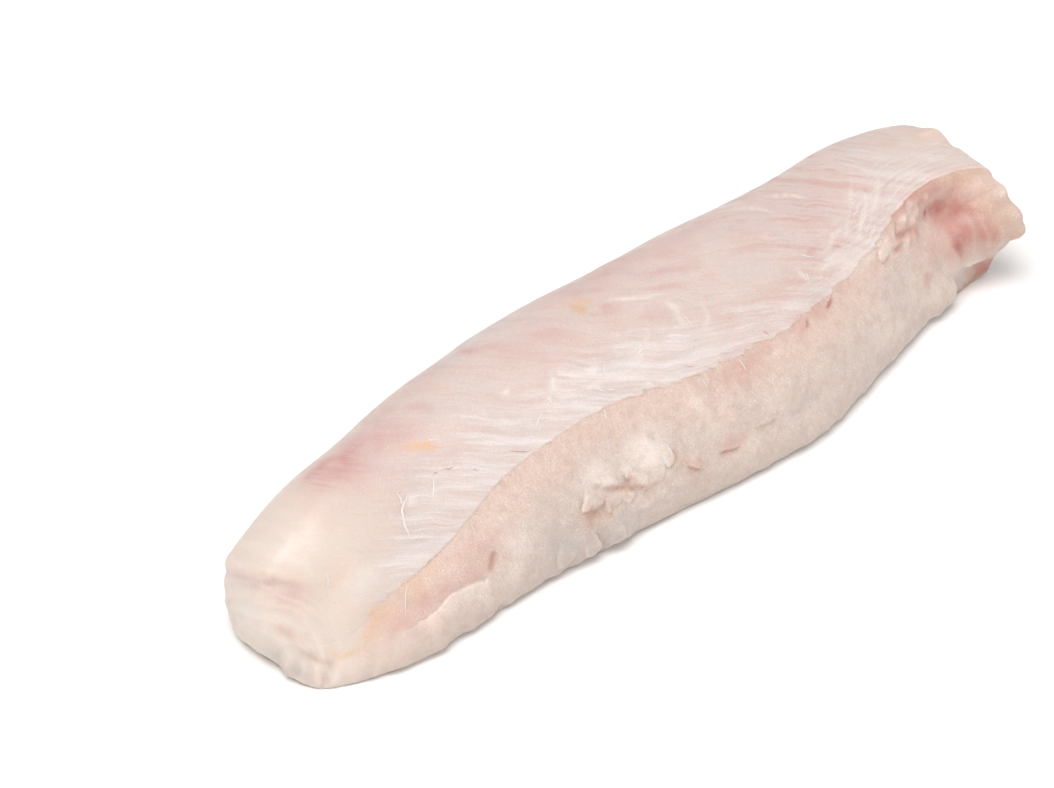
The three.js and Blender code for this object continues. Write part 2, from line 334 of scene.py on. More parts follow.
LOBES = rows(
    Lobe,
    (((-21, -16.5, 24.5), (-18.5, -20, 19)), 4.2, 0.68, 0.3),
    (((-21, -18.5, 21.5), (-19.5, -20.5, 17.5)), 2.8, 0.68, 0.3),
    (((-14.5, -20, 20), (-12.5, -22, 16.5)), 1.9, 0.9, 0.9),
    (((-24.5, -19, 20), (-24.5, -20.5, 17)), 1.1, 0.75, 0.9),
    (((-23, -20, 18), (-23, -21.5, 15)), 1.7, 0.6, 0.5),
    (((-20.5, -20.5, 18), (-20.5, -22.5, 14)), 1.6, 0.56, 0.45),
    (((-18.5, -21, 17), (-19, -22.5, 14)), 1.4, 0.49, 0.4),
    (((-16, -21.5, 17), (-16.5, -22.5, 14)), 1.2, 0.38, 0.4),
    (((-29, -17.5, 21.5), (-30, -19.5, 17.5)), 1.9, 0.68, 0.6),
    (((-31, -16.5, 22.5), (-32, -19, 18)), 1.4, 0.52, 0.4),
    (((-33, -15, 24.5), (-33.5, -18, 19.5)), 1.5, 0.6, 0.5),
    (((-35.5, -15, 24.5), (-34.5, -17.5, 20.5)), 1.5, 0.38, 0.3),
    (((-34.5, -18, 19.5), (-37.5, -20, 14.5)), 1.3, 0.83, 0.8),
    (((-33.5, -19, 17.5), (-34, -20.5, 14.5)), 1.8, 0.45, 0.4),
    (((-32, -20, 16), (-31.5, -21, 13.5), (-31.5, -21.5, 12)), 0.6, 0.75, 1.0),
    (((-29.5, -20.5, 16), (-29.5, -21.5, 13.5)), 1.7, 0.45, 0.4),
    (((-28, -21, 15), (-26, -22, 12.5)), 1.2, 0.45, 0.6),
    (((-33, -14, 26.5), (-31, -17, 22)), 1.0, 0.22, 0.25),
    (((-30.5, -14.5, 26), (-29.5, -17.5, 22)), 1.0, 0.26, 0.25),
    (((-29, -15.5, 25), (-28, -18, 21)), 0.9, 0.22, 0.25),
    (((-38.5, -22.5, 7.5), (-38.5, -23, 4.5)), 2.4, 0.38, 0.25),
    (((-33.5, -23, 7.5), (-31.5, -23.5, 5)), 2.6, 0.38, 0.25),
    (((-44, -21.5, 8.5), (-46.5, -22, 6)), 2.4, 0.4, 0.2),
    (((-27, -23.5, 7.5), (-26.5, -24, 5)), 2.0, 0.26, 0.2),
    (((-7, -23, 14.5), (-6, -24, 12)), 1.0, 0.3, 0.4),
    (((77, -11.5, 29.5), (72, -13.5, 27.5)), 1.5, 0.55, 0.35, 0.25),
    (((101, -11, 29.5), (106, -12, 29.5), (110, -13, 30)), 2.2, 0.4, 0.1, 0.5),
    (((91.5, -14, 21), (96.5, -16.5, 14.5)), 3.2, 0.4, 0.1),
    (((101, -16.5, 11), (105.5, -16, 4.5)), 2.4, 0.4, 0.1),
    (((-114.5, -3.5, 9), (-114.5, -5, 4)), 3.4, 0.4, 0.4),
    (((-112.5, -7, 7), (-113, -8.5, 3)), 3.2, 0.4, 0.3),
)

# patches of each tint; some tints are painted shade or painted highlight
STAINS = {
    Tint.BLUSH: rows(
        Stain,
        ((-83, 13, 34.6), (13, 9, 8), 0.75),
        ((-86.5, 15.5, 33), (7, 4, 4), 0.85),
        ((-73, 12, 36), (11, 6, 5), 0.5),
        ((-67.5, 10, 37), (9, 5, 4), 0.25),
        ((-93, 8, 33), (10, 8, 5), 0.2),
        ((4, 18, 40), (24, 7, 8), 0.32),
        ((-4, 6, 41.5), (9, 4, 4), 0.16),
        ((-24, 13, 42), (12, 6, 4), 0.1),
        ((-52, 19, 38.5), (12, 6, 5), 0.15),
        ((5, -1.5, 39), (5, 3, 3), 0.22),
        ((30, 15, 39.5), (24, 5, 6), 0.25),
        ((60, 6, 38), (22, 9, 8), 0.15),
        ((101, -16, 22), (6, 5, 4), 0.6),
    ),
    Tint.SALMON: rows(
        Stain,
        ((16, -19, 26.5), (10, 5, 4), 0.4),
        ((22, -18.5, 27.5), (7, 4, 3), 0.3),
        ((-91, -15, 10.5), (7, 4, 3.5), 0.4),
        ((-84, -15.5, 11.5), (6, 3, 3), 0.45),
        ((-77, -16.5, 12), (6, 3, 2), 0.5),
        ((-71, -17, 13), (5, 3, 2), 0.45),
        ((-66, -16, 15), (7, 6, 4.5), 0.35),
        ((44, -16.5, 28), (5, 3, 3), 0.5),
        ((56, -15.5, 28), (6, 3, 3), 0.3),
        ((37, -18, 27), (4, 3, 3), 0.5),
        ((6, -26, 13.5), (6, 3, 2), 0.6),
        ((-6, -25, 12), (4, 3, 2), 0.5),
        ((-111.5, -1, 20.5), (6, 5, 5), 0.3),
        ((100.5, -13.5, 26), (10.5, 8, 7), 1.0),
        ((102, -17, 20), (9, 6, 7), 1.0),
        ((105.5, -18.5, 20), (6, 6, 7.5), 0.8),
        ((106, -17.5, 24), (5, 5, 4), 0.4),
        ((92, -15, 20), (9, 6, 6), 0.4),
        ((110, -17, 8), (7, 5, 6), 0.5),
        ((94.5, -13.5, 23), (8, 6, 6), 0.5),
        ((94, -8.5, 33), (9, 4, 3), 0.75),
        ((85, -12, 27.5), (7, 4, 4), 0.6),
        ((87, -17, 14), (2.6, 2.4, 2), 0.8),
    ),
    Tint.BLOOD: rows(
        Stain,
        ((98, -11, 28.5), (5, 4, 3), 0.9),
        ((101.5, -14, 26), (6, 5, 3.5), 0.35),
        ((87, -11.5, 27), (1.3, 1.3, 1.3), 0.8),
        ((93, -9, 32), (6, 3, 2.5), 0.3),
        ((113, -16.5, 4.5), (5.5, 5, 5), 0.8),
        ((104, -18, 20.5), (5, 5, 4), 0.22),
    ),
    Tint.AMBER: rows(
        Stain,
        ((90, 8, 38.5), (2.4, 1.4, 2), 0.3),
        ((-94, -12, 12.5), (5, 4, 3), 0.5),
        ((-98.5, -13, 10.5), (4, 3, 2.5), 0.55),
        ((-84, -12, 15), (6, 3, 3), 0.35),
        ((-79, -11.5, 16.5), (5, 3, 3), 0.25),
        ((-99.5, -4.5, 22.5), (4, 3, 5), 0.25),
        ((108, -16.5, 26), (3, 3, 2), 0.25),
        ((112.5, -20, 21), (8, 8, 10), 0.25),
        ((107.5, -11, 31.5), (7, 4, 3.5), 0.3),
        ((110, 5, 35.5), (7, 6, 3), 0.3),
    ),
    Tint.CHALK: rows(
        Stain,
        ((-1, -19.5, 23), (4, 6, 4), 0.35),
        # painted highlight on top of the clump's main flap
        ((-18, -19, 20.5), (8, 6, 6), 0.7),
        ((-31, -18, 19.5), (6, 5, 5), 0.6),
        ((94, -9, 31.5), (1.6, 1.6, 1.6), 0.5),
        ((86, -8.4, 33), (3.4, 1.6, 1.6), 0.5),
        ((84, -10, 31), (2, 2, 2), 0.4),
        ((87.5, -11, 28.7), (1.8, 1.8, 1.8), 0.3),
        ((74.5, -12.5, 28.5), (3.4, 2, 2), 0.5),
        ((83, -12.5, 26), (2.2, 2.2, 2.2), 0.5),
        ((72.5, -12, 29.5), (1.5, 1.5, 1.5), 0.4),
        ((-4, -5.7, 36.8), (2.6, 1.2, 1.2), 0.9),
        ((-8.3, -6.8, 36.2), (2, 1.2, 1.2), 0.9),
        ((-21, -4.3, 37.5), (2.8, 1.4, 1.2), 0.8),
        ((-21.8, -7.8, 34.8), (2.6, 1.1, 1.1), 0.7),
        ((-10.5, -13, 31.3), (2.6, 1, 1), 0.8),
        ((-65, -4.8, 29.3), (1.8, 1, 1), 0.6),
        ((-11, -8.5, 35), (10, 4, 4), 0.4),
        ((-31.5, -5, 36), (7, 5, 4), 0.4),
        ((61, -12.5, 30), (10, 4, 3), 0.5),
        ((-58, -17.5, 14.5), (5, 5, 7), 0.35),
        ((60, -13.5, 29), (7, 3, 1.5), 0.3),
        ((-70, -4, 28.5), (6, 4, 4), 0.3),
        # painted highlight on top of the blunt end's lip
        ((-104, 2.5, 29.5), (7, 8, 4), 0.38),
        ((-115, 3, 14), (9, 13, 10), 0.55),
        ((-95.5, -7, 20), (6, 4, 4), 0.6),
        ((114.8, -16.2, 27.3), (3, 3, 2.2), 0.8),
        ((114, -20.5, 23), (5, 6, 6), 0.2),
    ),
    Tint.GLASSY: rows(
        Stain,
        ((-113.5, -5.5, 5), (5, 7, 4), 0.75),
        ((-115.5, -0.5, 6), (4, 4, 3), 0.65),
        ((105, -16.5, 4), (10, 8, 6), 1.0),
        ((-34, -22.5, 6), (13, 6, 6), 0.9),
        # painted shade on the shaded side beside the clump
        ((-45, -21.5, 7.5), (9, 6, 7), 1.0),
        ((29, -27, 13), (7, 5, 3), 0.4),
        ((113, -21, 20), (8, 8, 10), 0.55),
    ),
    # painted shade in recesses and under overhangs
    Tint.CREVICE: rows(
        Stain,
        ((106, -10.5, 32), (9, 3.5, 3), 0.38),
        ((112, -20, 21), (10, 10, 13), 0.33),
        ((106, -15, 2), (10, 7, 6), 0.7),
        ((103, -18, 19), (6, 5, 6), 0.2),
        ((-35.5, -21.5, 12), (6, 4, 2.6), 0.65),
        ((-25.5, -21, 15.3), (2.6, 2.6, 2.2), 0.5),
        ((-37, -21.5, 10.5), (2.2, 2, 1.6), 0.6),
        ((-31.5, -22, 11.3), (1.4, 1.4, 1.2), 0.7),
        ((-9, -24, 13.5), (3, 2, 1.6), 0.4),
        ((97.5, -17.3, 5), (2.4, 3, 3), 0.4),
    ),
}

# streaks of each tint; some tints are painted shade or painted highlight
STREAKS = {
    Tint.BLUSH: rows(
        Streak,
        # painted pink shade in the fold under the blunt end's lip
        (
            ((-113.5, 17, 19), (-115.5, 11, 22), (-114.5, 5, 24),
             (-111.5, 0.5, 23.3), (-108.5, -2.3, 21.5), (-106, -5, 19)),
            2.3, 0.34,
        ),
        (((-39.5, 23, 37.5), (-38.5, 17.5, 40.5), (-35, 14.5, 41.5), (-31, 14.5, 41.5)), 1.6, 0.5),
        (((-55, 24, 35), (-51.5, 23, 36.5), (-48.5, 17.5, 39.5)), 1.6, 0.4),
        (((-28.5, 12.5, 42), (-22.5, 9.5, 42), (-16.5, 5.5, 41.5)), 2.0, 0.3),
        (((1.5, 18.5, 40), (5, 16.5, 40.5), (7.5, 16.5, 40.5)), 1.2, 0.6),
        (((-10, 8, 41.5), (-9.5, 6.5, 41.5), (-7.5, 6, 41.5)), 0.9, 0.5),
        (((-9, 7, 41.5), (-6, 7, 41.5), (-2, 6.5, 41)), 2.2, 0.35),
        (((-9.5, 17, 41), (-5, 15.5, 41), (2, 12, 41)), 1.4, 0.4),
        (((5, 11.5, 41), (14, 8, 40.5), (24.5, 4.5, 40)), 1.8, 0.3),
        (((1, 1.5, 40), (3.5, -2.5, 38.5)), 2.2, 0.35),
        (((-61.5, 17, 37.5), (-59.5, 11, 39), (-57, 8.5, 39)), 1.8, 0.4),
        (((6, 6, 41), (13, 3, 40), (20, 0, 39)), 1.2, 0.3),
        (((40, 12, 40), (48.5, 12, 39), (56, 8.5, 39), (60.5, 2.5, 38), (63, -3.5, 35.5)), 0.7, 0.2),
        (((32.5, 12.5, 40), (41.5, 8.5, 40), (47.5, 2.5, 38.5), (52, -3.5, 36.5)), 0.8, 0.2),
        (((53.5, 19.5, 36.5), (59.5, 15, 38), (64, 8, 38.5), (69, 0, 37), (70.5, -3.5, 35.5)), 0.8, 0.2),
        (((69, 15.5, 37.5), (72, 8, 38.5), (76.5, 2, 37.5)), 0.8, 0.2),
        (((32.5, 3.5, 39.5), (43, 0, 38.5), (51, -4.5, 36), (55, -7, 34.5)), 0.7, 0.25),
        (((50.5, -5.5, 35.5), (55.5, -7, 34.5)), 1.0, 0.5),
        (((58, -7.5, 33.7), (62, -9.3, 32.5)), 1.0, 0.5),
        (((79, -0.5, 36.5), (81, -0.5, 36.5)), 0.9, 0.5),
    ),
    Tint.SALMON: rows(
        Streak,
        (((-115, 1, 14.8), (-113.5, -2, 13.5), (-112, -4.7, 11.3)), 1.1, 0.7),
        (((-67, -18.2, 12), (-72, -17.6, 12.2), (-79, -16.2, 12.6)), 1.2, 0.5),
        (((-86, -16.4, 10), (-92, -15.6, 9), (-97, -15.4, 8)), 1.4, 0.4),
        (((98, -10, 30.5), (104.5, -11, 30.5), (110.5, -14, 29)), 0.9, 0.6),
        (((103.5, -17.5, 22.5), (103.5, -18.5, 20)), 0.9, 0.8),
        (((103, -18.5, 18.5), (106, -19.5, 15), (109, -19, 11.5)), 1.0, 0.5),
        (((92.5, -11.5, 26), (93, -14, 21)), 0.8, 0.5),
        (((95, -12, 26), (95.5, -14.5, 20.5)), 0.8, 0.5),
        (FAR_FOLD, 0.9, 0.8),
        # painted shadow under the overhanging sheath edge over the hollow
        (((76, -10.5, 32), (80.5, -9.2, 32.7), (85, -8, 34), (92, -7.8, 34), (99, -8.5, 34)), 2.0, 0.9),
    ),
    Tint.BLOOD: rows(
        Streak,
        (((96.5, -10.5, 29.5), (100, -12, 27.5)), 1.2, 0.6),
        (RED_CLEFT, 0.7, 0.9),
        (RED_FOLD, 1.0, 0.6),
        (((99.5, -16, 21), (99.5, -17, 18), (99.5, -17.5, 15.5), (100, -17.5, 12.5)), 1.1, 0.7),
        (LONG_CUT, 0.55, 0.95),
        (SHORT_CUT, 0.55, 0.95),
    ),
    Tint.AMBER: rows(
        Streak,
        (((-109.5, -9, 8.5), (-106.5, -12, 7.5), (-103.5, -13, 8), (-99, -14.5, 8.5)), 1.0, 0.6),
        (((-70.5, 7, 36), (-67, 4, 36), (-62.5, 1.5, 35.5)), 1.2, 1.0),
        (SCRATCH, 1.8, 1.0),
        (((-9.5, 14, 41.5), (-7.5, 12, 41.5), (-6.5, 9.5, 41.5)), 1.5, 0.9),
    ),
    Tint.CHALK: rows(
        Streak,
        (((101, -11, 29.5), (106, -12, 29.5), (110, -13, 30), (113.5, -13, 30.5)), 1.2, 0.25),
        (((103, -17.5, 9.5), (108.5, -17.8, 8), (113, -18.3, 8.5)), 0.7, 0.8),
        (((-30.5, -0.5, 39), (-31.5, -3, 37.5), (-32.5, -4.5, 36.5)), 1.1, 0.8),
        # painted highlight along the blunt end's lip
        (((-112.5, 11, 26.5), (-109.5, 5, 29), (-106, 0.5, 27.5), (-104, -2.5, 24)), 1.7, 0.4),
        (((-76, -1, 30.5), (-76, -3.5, 28)), 1.6, 0.6),
        (((-69.5, -3, 30.5), (-71, -4.5, 27.5)), 1.0, 0.6),
        (
            ((-117, 10, 16), (-116, 5, 21), (-113, 0.5, 22),
             (-109.5, -2.5, 19.5), (-107, -6, 16), (-106.5, -8, 12.5)),
            0.8, 0.5,
        ),
        (
            ((-117, 7.5, 13), (-116, 3, 18.5), (-112.5, -0.5, 19.5), (-110, -4, 17), (-108.5, -7, 12.5)),
            0.7, 0.45,
        ),
        (((-116.5, 2.5, 14.5), (-114, -0.5, 16.5), (-111, -4, 14.5), (-109.5, -7.5, 11)), 0.7, 0.45),
        (((-5.5, 9, 41.5), (-1, 7.5, 41.5), (4, 4.5, 40.5), (10, 2, 40)), 0.7, 0.6),
        (((7.5, 1, 39.5), (9.5, -2, 38.5), (8, -5, 37)), 1.0, 0.6),
        (((8, -4, 38), (8.5, -8, 35.5)), 0.9, 0.5),
        (((16.5, -3.5, 37.5), (15, -8, 35.5), (11, -9.5, 34.5)), 0.7, 0.4),
        (((-23, -3.5, 38), (-21, -4.5, 37.3), (-18, -3.5, 38)), 1.0, 0.8),
        (((-4, -5, 37), (-7, -6.5, 36.5), (-9.5, -7.5, 36)), 0.9, 0.8),
        (((-33.5, -3, 37), (-31, -2, 38), (-30, -0.5, 39)), 0.9, 0.7),
        (STRAY_WISP, 0.7, 0.6),
        (((-43, 3, 39.5), (-41.5, 1, 38.5)), 0.9, 0.6),
        (((25, -19.5, 25.5), (28, -20, 25)), 0.6, 0.8),
        (((45, -8.5, 34.5), (46.5, -10, 33), (46.5, -12, 32)), 0.6, 0.6),
        (((44.5, 17, 38.5), (48.5, 15, 38.5), (52.5, 10.5, 39), (55.5, 3, 38)), 0.6, 0.6),
        (((58, 13.5, 38.5), (62, 10.5, 38.5), (65.5, 5.5, 38)), 0.6, 0.6),
        (((81, 6.5, 38), (77, 1.5, 37.5), (71, -3, 35.5), (65, -7, 34)), 0.6, 0.4),
        (((83, 4, 37.5), (77.5, -2.5, 36), (71, -7, 34), (63, -11.5, 31)), 0.6, 0.4),
        (((87.5, 2, 37.5), (81.5, -3, 36), (73.5, -7, 33.5)), 0.6, 0.4),
        (((48.5, -11, 32.5), (56, -10.5, 32), (64, -9.5, 32.5)), 1.1, 0.5),
        (((55.5, -9, 33), (61, -6.5, 34.5), (66.5, -4, 35.5)), 0.8, 0.5),
    ),
    # painted shade along cracks and under the torn flakes
    Tint.CREVICE: rows(
        Streak,
        (SCRATCH, 1.3, 0.3),
        (
            ((-34.5, -18.5, 18.5), (-31.5, -19.5, 17), (-28, -20.5, 16), (-25.5, -21.5, 14),
             (-23, -22, 14), (-19.5, -23, 13), (-16, -23, 13.5)),
            0.9, 0.75,
        ),
        (((-11, -21.5, 18.5), (-10.5, -22.5, 16.5), (-11.5, -23.3, 14.5)), 0.9, 0.5),
    ),
}

THREADS = rows(
    Thread,
    (((-74.5, -1, 31), (-79, -2.5, 28.5), (-80, -4.5, 26), (-80.5, -8.5, 20)), 0.45),
    (((-68.5, -2, 31.5), (-70.5, -4, 28.5), (-72.5, -4, 28)), 0.4),
    (((-78, 0, 31.5), (-78, -2.5, 28.5)), 0.3),
    (((-76.5, -4, 27), (-74.5, -9.5, 20.5)), 0.25),
    (((-30, -0.5, 39), (-32.5, -4, 36.5)), 0.3),
    (STRAY_WISP, 0.3),
    (((-38, -5.5, 35), (-41.5, -7, 33)), 0.25),
    (((-23, -7.5, 35), (-21, -9.5, 34)), 0.25),
    (((-21, -9, 34.5), (-18.5, -10.5, 33.5)), 0.25),
    (((-13, -6, 36.5), (-12.5, -9.5, 34)), 0.22),
    (((-17.5, -5, 37.5), (-19, -7, 36)), 0.22),
    (((-3, -6, 36.5), (-7, -6.5, 36.5), (-9.5, -7.5, 36)), 0.3),
    (((47, -8.5, 34), (47.5, -10, 33), (46.5, -12.5, 31.5)), 0.3),
    (((49.5, -6, 35.5), (52.5, -8, 34)), 0.2),
    (((44.5, 17, 38.5), (48.5, 15, 38.5), (52.5, 10.5, 39)), 0.22),
    (((-23.5, -11, 32.5), (-24.5, -13.5, 28.5)), 0.2),
    (((3.5, -16.5, 29), (4.5, -19.5, 24)), 0.2),
    (((15, -16.5, 29), (16, -18.5, 27), (16.5, -20, 24.5)), 0.14),
    (((-65.5, -10.5, 22), (-66, -13.5, 18.5)), 0.13),
    (((-101.5, -3, 24.5), (-103.5, -5, 21)), 0.18),
    (((-84.5, -10, 17), (-90, -15.5, 10.5)), 0.15),
    (((-6, 8, 41.5), (-3, 8, 41.5), (0, 7.5, 41), (4.5, 5, 40.5), (9.5, 2, 40), (13.5, 0, 39)), 0.16),
    (((5, 2, 40), (6, -0.5, 39), (7.5, -3, 38), (5, -6.5, 36.5)), 0.13),
    (((10, -3, 38), (10, -5, 37), (9.5, -7.5, 36), (9.5, -8.5, 35)), 0.17),
    (((10.5, 1.5, 39.5), (12.5, -1, 39), (14, -3, 38), (14, -6.5, 36.5)), 0.13),
    (((-12.5, 7.5, 41.5), (-11.5, 4.5, 41), (-11, 3, 40.5), (-8, -1.5, 39), (-1, -6, 37)), 0.12),
    (((-18.5, -5, 37), (-18.5, -6, 36.5), (-18.5, -7, 35.5)), 0.15),
    (((-12.5, -8, 35.5), (-12.5, -9, 34.5)), 0.15),
    (((-34, -3.5, 37), (-34, -5, 35.5)), 0.2),
    (((-46, -9, 30), (-45, -10.5, 28.5)), 0.16),
    (((-46.5, -11, 27.5), (-46.5, -12.5, 25)), 0.14),
    (((-47, -11.5, 26.5), (-47, -13, 24.3)), 0.12),
    (((-48, -13.5, 23.5), (-48, -14.5, 22.5)), 0.14),
    (((-46.5, -14, 23), (-46.5, -15, 21.5)), 0.14),
    (((-56, -12, 23.5), (-56.5, -13, 22)), 0.14),
    (((1, -15, 30), (2, -16.5, 28.5)), 0.14),
    (((2, -18.5, 26), (3, -19.5, 24)), 0.15),
)

NICKS = rows(
    Thread,
    (((-68, -1.5, 32), (-67, -2, 32)), 0.12),
    (((-65.5, -2, 32), (-65, -2.5, 32), (-63, -3, 32)), 0.11),
    (((-59.5, -5.5, 30.5), (-58.5, -6, 30)), 0.11),
    (((-59, -7, 28.5), (-57, -8.5, 27.5), (-56, -9, 27)), 0.12),
    (((-50, -7, 31.5), (-45.5, -9.5, 30)), 0.1),
    (((-21.5, -9.5, 33.5), (-20, -10.5, 33), (-19, -11, 32.5)), 0.1),
    (((-12.5, -12.8, 31.7), (-11, -13.2, 31.3)), 0.11),
    (((0.5, -13, 32), (2, -14, 31), (3.5, -14.5, 31)), 0.09),
    (((15, -14, 31), (15.7, -14, 31)), 0.16),
    (((19, -10, 34), (20.5, -10.5, 34)), 0.11),
    (((11.5, -15, 30.5), (15, -16, 29.5)), 0.09),
    (((26, -16, 30), (27, -17, 29)), 0.12),
    (((51, -4.5, 36), (54.5, -7, 34.5)), 0.09),
    (((58.5, -7, 34), (62, -9, 33)), 0.1),
    (((58.5, -8.5, 33), (61, -10, 32)), 0.1),
    (((-84, 22.5, 29.5), (-84, 16.5, 33.5)), 0.13),
    (((50.5, -16.5, 27.5), (49.5, -17, 27), (47, -17.5, 27)), 0.2),
    (SHORT_CUT, 0.19),
)


def ease(start: float, end: float, value: np.ndarray) -> np.ndarray:
    """Rises from 0 to 1 as value goes from start to end, level at both.

    Args:
        start: Value where the rise begins; it may lie above end.
        end: Value where the rise is complete.
        value: Values to ease.

    Returns:
        Shares from 0 to 1.
    """
    share = np.clip((value - start) / (end - start), 0.0, 1.0)
    return share * share * (3.0 - 2.0 * share)


def close_to(points: np.ndarray, line: Line, reach: float) -> np.ndarray:
    """Numbers of the points inside the box round a line, widened by a reach."""
    knots = np.array(line, float)
    return np.flatnonzero(((points > knots.min(0) - reach) & (points < knots.max(0) + reach)).all(axis=-1))


def settled(points: np.ndarray, line: Line) -> np.ndarray:
    """Moves the corners of a line to the nearest points of a surface."""
    return np.array([points[((points - corner) ** 2).sum(1).argmin()] for corner in np.array(line, float)])


def against_line(
    points: np.ndarray, outward: np.ndarray, knots: np.ndarray
) -> tuple[np.ndarray, np.ndarray, np.ndarray]:
    """Measures points against a line of straight spans on the surface.

    Args:
        points: Points, with their coordinates last.
        outward: Outward direction at each point.
        knots: Corners of the line.

    Returns:
        Distance to the line, the share of its length at the nearest place, and the side, positive on the left
        hand of someone who walks the line on the outside.
    """
    lengths = np.linalg.norm(np.diff(knots, axis=0), axis=1)
    runs = np.concatenate([[0.0], np.cumsum(lengths)]) / lengths.sum()
    nearest = np.full(len(points), np.inf)
    share, side = np.zeros((2, len(points)))
    for i, (start, end) in enumerate(zip(knots[:-1], knots[1:])):
        span = end - start
        along = np.clip(((points - start) @ span) / (span @ span), 0.0, 1.0)
        away = np.linalg.norm(points - start - along[:, None] * span, axis=-1)
        closer = away < nearest
        left = np.einsum("ij,ij->i", np.cross(outward, span), points - start)
        share = np.where(closer, runs[i] + (runs[i + 1] - runs[i]) * along, share)
        side = np.where(closer, left, side)
        nearest = np.minimum(nearest, away)
    return nearest, share, side


def away_from_point(points: np.ndarray, at: Point, reach: Point) -> np.ndarray:
    """Distance of points from a centre, in shares of its reach along each axis."""
    return np.linalg.norm((points - np.array(at)) / np.array(reach), axis=-1)


class Unevenness:
    """Smooth random unevenness in space, the same on each run."""

    CELLS = 32

    def __init__(self, seed: int) -> None:
        """Draws the values of one lattice.

        Args:
            seed: Seed of the draw.
        """
        self.values = np.random.default_rng(seed).uniform(-1.0, 1.0, (self.CELLS,) * 3)

    def at(self, points: np.ndarray, size: float | Point, part: int = Part.FIRST) -> np.ndarray:
        """Reads the unevenness.

        Args:
            points: Points, with their coordinates last.
            size: Width of one bump, or one for each axis.
            part: Shift to another part of the lattice, in bumps.

        Returns:
            Values from -1 to 1.
        """
        place = points / np.array(size) + part
        corner = np.floor(place).astype(int)
        share = ease(0.0, 1.0, place - corner)
        total = np.zeros(points.shape[:-1])
        for step in np.ndindex(2, 2, 2):
            index = (corner + np.array(step)) % self.CELLS
            weight = np.prod(np.where(np.array(step) == 1, share, 1.0 - share), axis=-1)
            total += weight * self.values[index[..., 0], index[..., 1], index[..., 2]]
        return total


@dataclass(frozen=True)
class SectionShape:
    """How a cross-section bends between the lines that carry it."""

    wall_lean: float = 1.7
    foot_curl: float = 3.0
    foot_curl_height: float = 6.0
    back_tuck: float = 7.0
    back_fullness: float = 2.3
    back_waist: float = 0.42


@dataclass(frozen=True)
class EndShape:
    """How the two ends close, lean and flare."""

    near_x: float = -117.0
    far_x: float = 117.0
    near_rounding: float = 10.0
    far_rounding: float = 7.0
    bluntness: float = 3.6
    core_z: float = 11.0
    near_lean: float = 0.85
    near_lean_run: float = 45.0
    lean_from_y: float = 6.0
    lean_full_y: float = -18.0
    rim_run: float = 26.0
    rim_full: float = 3.0
    rim_out: float = 10.0
    rim_forward: float = 2.0
    rim_z: float = 20.0
    rim_spread: float = 9.0
    rim_from_y: float = 2.0
    rim_full_y: float = -12.0


@dataclass(frozen=True)
class HemShape:
    """How the torn edge of the sheath runs, and how wide the white membrane above it is."""

    seed: int = 5
    teeth: int = 120
    narrow: float = 2.5
    wide: float = 10.0
    low: float = 0.1
    high: float = 1.5
    calm: float = 0.35
    torn_from: Pair = (-50.0, 0.0)
    torn_to: Pair = (74.0, 90.0)
    slow: float = 0.5
    slow_width: float = 8.0
    fine: float = 0.25
    fine_width: float = 1.4
    corner: tuple[Pair, ...] = ((-111, -6), (-103, 7), (-99.5, 10.5), (-95.5, 14), (-91, 19))
    corner_softness: float = 2.5
    face_turn: Pair = (0.45, 0.75)
    fade_from: float = -97.0
    fade_to: float = -80.0
    membrane: tuple[Pair, ...] = (
        (-106, 2), (-90, 7), (-66, 17), (-52, 12), (-34, 11), (0, 14),
        (14, 11), (50, 7.5), (67, 11), (92, 17), (112, 13),
    )


@dataclass(frozen=True)
class FibreRun:
    """How the fibres of the flesh are drawn out and stray."""

    stretch: float = 0.08
    stray: float = 1.6
    stray_width: float = 14.0
    fine_stray: float = 0.35
    fine_width: float = 3.5
    arch: float = 5.0
    arch_at: float = 34.0
    arch_width: float = 24.0
    wall_lie: Pair = (0.45, -0.89)


@dataclass(frozen=True)
class Fineness:
    """How many faces the surface has along and around."""

    trace: int = 240
    near_end: int = 44
    far_end: int = 22
    body: int = 458
    wall: int = 84
    sheath: int = 60
    back: int = 34
    underside: int = 10
    torn: tuple[Pair, ...] = ((-50.0, 0.0), (64.0, 112.0))
    torn_extra: float = 0.6
    torn_fade: float = 8.0


@dataclass(frozen=True)
class Surface:
    """A grid of points over the loin, ring by ring, with what its relief and painting read."""

    points: np.ndarray
    outward: np.ndarray
    across: np.ndarray
    up: np.ndarray


